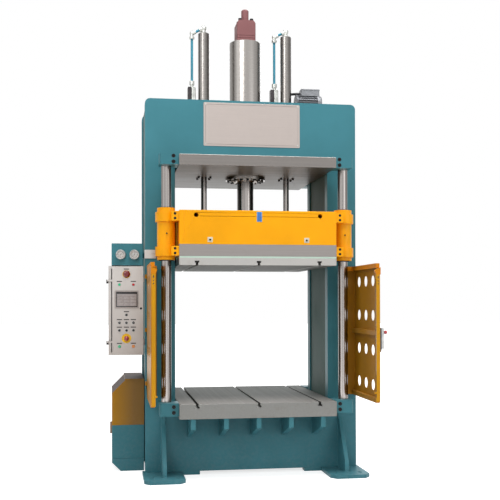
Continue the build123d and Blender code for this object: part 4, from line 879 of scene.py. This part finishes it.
def radial_marks(name, centre, marks, material):
    """Scale marks from (angle, inner radius, outer radius, half width), as one mesh."""
    shape = bmesh.new()
    for turn, inner, outer, half in marks:
        along = Vector((math.cos(turn), 0, math.sin(turn)))
        across = Vector((-along.z, 0, along.x)) * half
        front = centre + Vector((0, -0.0005, 0))
        corners = [front + along * radius + across * side
                   for radius, side in ((inner, -1), (outer, -1), (outer, 1), (inner, 1))]
        shape.faces.new([shape.verts.new(c) for c in corners])
    bmesh.ops.solidify(shape, geom=shape.faces[:], thickness=0.0002)
    bmesh.ops.recalc_face_normals(shape, faces=shape.faces[:])
    return make_object(name, to_mesh(name, shape), material, FRAME, False)


def number(name, text, place, size, material):
    """One number of a gauge's scale, upright and facing the front."""
    curve = bpy.data.curves.new(name, "FONT")
    curve.body = text
    curve.size = size
    curve.align_x = "CENTER"
    curve.align_y = "CENTER"
    curve.extrude = 0.0001
    return attach(name, curve, material, FRAME, place, (math.radians(90), 0, 0))


def gauge_dials(looks):
    """The dials of the two pressure gauges."""
    z = (case_low.z + case_high.z) / 2
    places = (("left_gauge", case_low.x + GAUGE_RADIUS), ("right_gauge", case_high.x - GAUGE_RADIUS))
    for name, x in places:
        dial(name, Vector((x, case_low.y + DIAL_RECESS, z)), looks)


def screen_pieces(looks):
    """The dark mask, the lit display, and the header and keys that it shows."""
    mask_low = Vector((screen_low.x + SCREEN_RIM, screen_low.y + 0.0012, screen_low.z + SCREEN_RIM))
    mask_high = Vector((screen_high.x - SCREEN_RIM, screen_low.y + 0.0021, screen_high.z - SCREEN_RIM))
    plate("screen_mask", mask_low, mask_high, looks["black"], DOOR, THIN_EDGE)
    field_low = mask_low + Vector((0.008, -0.0004, 0.009))
    field_high = Vector((mask_high.x - 0.008, mask_low.y + 0.0002, mask_high.z - 0.020))
    plate("screen_field", field_low, field_high, looks["screen"], DOOR, 0.0002)
    front = field_low.y - 0.0003
    back = front + 0.0004
    header_low = (field_low.x + 0.004, front, field_high.z - 0.016)
    header_high = (field_high.x - 0.004, back, field_high.z - 0.005)
    plate("screen_header", header_low, header_high, looks["field"], DOOR, 0.0001)
    pitch_x = (field_high.x - field_low.x - KEY_GAP) / KEY_COUNT
    pitch_z = (field_high.z - field_low.z - HEADER_ROOM - KEY_GAP) / KEY_COUNT
    for column in range(KEY_COUNT):
        for row in range(KEY_COUNT):
            x = field_low.x + KEY_GAP + column * pitch_x
            z = field_low.z + KEY_GAP + row * pitch_z
            key_high = (x + pitch_x - KEY_GAP, back, z + pitch_z - KEY_GAP)
            plate(f"screen_key_{column}_{row}", (x, front, z), key_high, looks["field"], DOOR, 0.0001)


def selector_marks(looks):
    """A pale line on each selector's grip."""
    for side in ("left", "middle", "right"):
        name = "selector_" + side
        low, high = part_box(name)
        centre = middle(name)
        plate(name + "_line", (centre.x - 0.0007, low.y - 0.0003, centre.z + 0.001),
              (centre.x + 0.0007, low.y + 0.0004, high.z - 0.0015), looks["dial"], "switch_" + side, 0.0002)


def door_pieces(looks):
    """The quarter-turn lock of the door."""
    place = (door_high.x - 0.022, door_face, (door_low.z + door_high.z) / 2 + 0.02)
    lathe("door_lock", LOCK_BOSS, place, FORWARD, looks["black_screw"], DOOR, 32)


# Pieces on the slide

def slide_plate(name, material, low, high, out=0.0015, sunk=0.0005, edge=0.0006):
    """A bare plate on the slide's front, between two corners in X and Z."""
    face = beam_low.y
    plate(name, (low[0], face - out, low[1]), (high[0], face + sunk, high[1]), material, SLIDE, edge)


def slide_pieces(looks):
    """The small plates and the seam on the slide's front, and the wipers round the columns."""
    face = beam_low.y
    slide_plate("slide_sign_back", looks["sign_back"], SIGN_LOW, SIGN_HIGH, edge=0.0008)
    slide_plate("slide_blue_plate", looks["blue_plate"], BLUE_LOW, BLUE_HIGH, 0.0024, -0.0009)
    for side, x in (("left", -0.462), ("right", 0.460)):
        name = f"slide_label_{side}"
        slide_plate(name, looks["pale_label"], (x - LABEL_HALF, LABEL_FOOT), (x + LABEL_HALF, LABEL_TOP))
        spot = (x, face - 0.0014, (LABEL_FOOT + LABEL_TOP) / 2)
        lathe(name + "_stud", LABEL_STUD, spot, FORWARD, looks["black_screw"], SLIDE, 24)
    weld_bead("slide_seam", (SEAM_X, face, beam_low.z + 0.004), (SEAM_X, face, beam_high.z - 0.006),
              looks["slide"], SLIDE, 0.0022, 5)
    ends = (("top", housings_high.z, (0, 0, 1)), ("foot", housings_low.z, (0, 0, -1)))
    for corner, (east, north) in enumerate(((1, -1), (-1, -1), (-1, 1), (1, 1))):
        for end, z, towards in ends:
            spot = (east * COLUMN_X, north * COLUMN_Y, z)
            lathe(f"wiper_{corner}_{end}", WIPER, spot, towards, looks["rubber"], SLIDE)


# Pieces on the frame

def welds(looks):
    """Fillet welds of the foot gussets and the table's brackets."""
    bead = looks["teal"]
    count = 0
    for north in (-1, 1):
        face = north * -portal_face
        toe = north * GUSSET_TOE_Y
        for east in (-1, 1):
            for side in (-1, 1):
                x = east * GUSSET_X + side * GUSSET_HALF
                root = (x, face, FOOT_TOP)
                count += 1
                weld_bead(f"gusset_weld_{count}", root, (x, face, GUSSET_TOP - 0.01),
                          bead, FRAME, GUSSET_WELD, count)
                weld_bead(f"gusset_foot_weld_{count}", root, (x, toe, FOOT_TOP),
                          bead, FRAME, GUSSET_WELD, count + 20)
            toe_low = (east * GUSSET_X - GUSSET_HALF, toe, FOOT_TOP)
            toe_high = (east * GUSSET_X + GUSSET_HALF, toe, FOOT_TOP)
            weld_bead(f"gusset_toe_weld_{count}", toe_low, toe_high, bead, FRAME, GUSSET_WELD, count + 40)
        pitch = (ribs_high.x - RIB_HALF) * 2 / (RIB_COUNT - 1)
        for step in range(RIB_COUNT):
            for side in (-1, 1):
                x = ribs_low.x + RIB_HALF + step * pitch + side * RIB_HALF
                weld_bead(f"bracket_weld_{north + 1}_{step}_{side + 1}", (x, face, ribs_low.z),
                          (x, face, table_low.z - 0.002), bead, FRAME, RIB_WELD, step)


def plate_screws(looks):
    """The four screws of the bare plate on the crown."""
    inset = 0.020
    for i, x in enumerate((plate_low.x + inset, plate_high.x - inset)):
        for k, z in enumerate((plate_low.z + inset, plate_high.z - inset)):
            spot = (x, plate_low.y, z)
            lathe(f"plate_screw_{i}_{k}", SCREW_HEAD, spot, FORWARD, looks["zinc"], FRAME, 24)


def motor_pieces(looks):
    """The motor's fan cowl with its grille, and the terminal box lid with its screws."""
    axis_z = cover_plate_z + SHAFT_HEIGHT
    end = motor_low.x + COWL_START

    def grille_point(radius, turn):
        return (end + GRILLE_OUT, radius * math.cos(turn), axis_z + radius * math.sin(turn))

    lathe("fan_cowl", FAN_COWL, (end, 0, axis_z), (1, 0, 0), looks["motor_box"], FRAME, 64)
    for i, radius in enumerate(GRILLE_RINGS):
        ring = [grille_point(radius, 2 * math.pi * k / 48) for k in range(48)]
        tube(f"cowl_ring_{i}", ring, 0.0016, looks["motor"], FRAME, True)
    for i in range(SPOKE_COUNT):
        turn = math.pi * i / SPOKE_COUNT
        spoke = [grille_point(SPOKE_REACH, turn), grille_point(-SPOKE_REACH, turn)]
        tube(f"cowl_spoke_{i}", spoke, 0.0014, looks["motor"], FRAME)
    lid_low = Vector((motor_low.x + TERMINAL_BOX_START - LID_LIP, -LID_HALF, motor_high.z - 0.012))
    lid_high = Vector((motor_high.x + LID_LIP, LID_HALF, motor_high.z + 0.0015))
    plate("terminal_box_lid", lid_low, lid_high, looks["motor_box"], FRAME, 0.003)
    inset = 0.014
    for i, x in enumerate((lid_low.x + inset, lid_high.x - inset)):
        for k, y in enumerate((lid_low.y + inset, lid_high.y - inset)):
            spot = (x, y, lid_high.z - 0.0002)
            lathe(f"terminal_box_screw_{i}_{k}", SCREW_HEAD, spot, (0, 0, 1), looks["zinc"], FRAME, 24)


def light_bar_pieces(looks):
    """Dark lens strips in the light bars, and the status windows near their tops."""
    for name, body, inward in (("left_light_bar", LEFT_LEAF, 1), ("right_light_bar", RIGHT_LEAF, -1)):
        low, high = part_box(name)
        inner = high.x - BAR_FOOT if inward > 0 else low.x + BAR_FOOT
        left, right = sorted((inner - inward * 0.0019, inner - inward * 0.0006))
        y = (low.y + high.y) / 2
        plate(name + "_lens", (left, y - LENS_HALF, low.z + LENS_END),
              (right, y + LENS_HALF, high.z - LENS_END), looks["lens"], body, THIN_EDGE)
        centre = inner - inward * WINDOW_INSET
        for i, (drop, height) in enumerate(BAR_WINDOWS):
            top = high.z - drop
            plate(f"{name}_window_{i}", (centre - WINDOW_HALF, low.y - 0.0006, top - height),
                  (centre + WINDOW_HALF, low.y + 0.0004, top), looks["lens"], body, THIN_EDGE)


# Floor, light and camera

def seen_straight(tree):
    """1 for what the camera sees straight, through glass or in a gloss, and 0 for other light."""
    path = node(tree, "ShaderNodeLightPath").outputs
    seen = math_node(tree, "MAXIMUM", path["Is Camera Ray"], path["Is Transmission Ray"])
    return math_node(tree, "MAXIMUM", seen, path["Is Glossy Ray"])


def white_floor():
    """A white floor that keeps the shadow and turns plain white away from the machine."""
    shape = bmesh.new()
    bmesh.ops.create_grid(shape, x_segments=1, y_segments=1, size=60)
    floor = new_object("floor", to_mesh("floor", shape))
    material, tree, shader = new_material("floor_white")
    grain = noise(tree, object_place(tree), 3.0, 3.0)
    tone = shades(tree, grain, (0.3, (0.60, 0.60, 0.60)), (0.7, (0.63, 0.63, 0.63)))
    fill(tree, shader, {"Base Color": tone, "Roughness": 0.9, "Specular IOR Level": 0.1})
    flat = object_place(tree, (1.0, 1.0, 0.0))
    away = node(tree, "ShaderNodeVectorMath", {0: flat}, operation="LENGTH").outputs["Value"]
    glow = math_node(tree, "MULTIPLY", seen_straight(tree), span(tree, away, 1.5, 3.6, 0.74, 1.0))
    lift = node(tree, "ShaderNodeEmission", {"Color": (1, 1, 1, 1), "Strength": glow})
    both = node(tree, "ShaderNodeAddShader", {0: shader.outputs["BSDF"], 1: lift.outputs["Emission"]})
    fill(tree, tree.nodes["Material Output"], {"Surface": both.outputs["Shader"]})
    floor.data.materials.append(material)


def white_world():
    """An even white world, shown brighter than it lights."""
    world = bpy.data.worlds.new("studio")
    bpy.context.scene.world = world
    world.use_nodes = True
    tree = world.node_tree
    shown = math_node(tree, "MULTIPLY", seen_straight(tree), 0.45)
    strength = math_node(tree, "ADD", shown, 0.55)
    fill(tree, tree.nodes["Background"], {"Color": (1, 1, 1, 1), "Strength": strength})


def area_light(name, place, aim, size, power):
    """A soft rectangular lamp that looks at a point."""
    light = bpy.data.lights.new(name, "AREA")
    light.shape = "RECTANGLE"
    light.size, light.size_y = size
    light.energy = power
    made = new_object(name, light)
    made.location = place
    made.rotation_euler = (Vector(aim) - Vector(place)).to_track_quat("-Z", "Y").to_euler()


def lights():
    """Four soft lamps: place, point looked at, size and power."""
    area_light("key", (-4.5, -7.5, 7.0), (0, 0, 2.0), (3.0, 3.0), 215)
    area_light("top", (0.4, -2.6, 9.0), (0, -0.9, 0.5), (5.0, 3.0), 560)
    area_light("fill", (6.5, -7.5, 3.0), (0, 0, 1.8), (3.5, 4.5), 95)
    area_light("rim", (1.5, 7.0, 6.0), (0, 0, 2.4), (4.0, 3.0), 170)


def camera():
    """The camera, from its place and its heading, tilt and roll in degrees."""
    image_px, focal_px = 500, 888.84
    heading, tilt, roll = 8.9991, 0.5048, -0.1145
    place = Vector((-1.3926, -9.0961, 1.6719))
    yaw, pitch, bank = (math.radians(a) for a in (heading, tilt, roll))
    forward = Vector((math.sin(yaw) * math.cos(pitch), math.cos(yaw) * math.cos(pitch), math.sin(pitch)))
    level = Vector((math.cos(yaw), -math.sin(yaw), 0))
    above = level.cross(forward)
    right = level * math.cos(bank) + above * math.sin(bank)
    up = above * math.cos(bank) - level * math.sin(bank)
    data = bpy.data.cameras.new("camera")
    data.sensor_width = 36
    data.lens = focal_px / image_px * data.sensor_width
    data.shift_y = 0.09
    data.clip_end = 200
    made = new_object("camera", data)
    turn = Matrix((right, up, -forward)).transposed().to_4x4()
    made.matrix_world = Matrix.Translation(place) @ turn
    bpy.context.scene.camera = made


def main():
    """The dressed press on its floor, with its lamps and camera."""
    bpy.context.scene.view_settings.view_transform = "Standard"
    looks = make_materials()
    dress_cad_nodes(looks)
    two_tone_nodes(looks)
    gauge_dials(looks)
    screen_pieces(looks)
    selector_marks(looks)
    door_pieces(looks)
    slide_pieces(looks)
    welds(looks)
    plate_screws(looks)
    motor_pieces(looks)
    light_bar_pieces(looks)
    white_floor()
    white_world()
    lights()
    camera()


main()
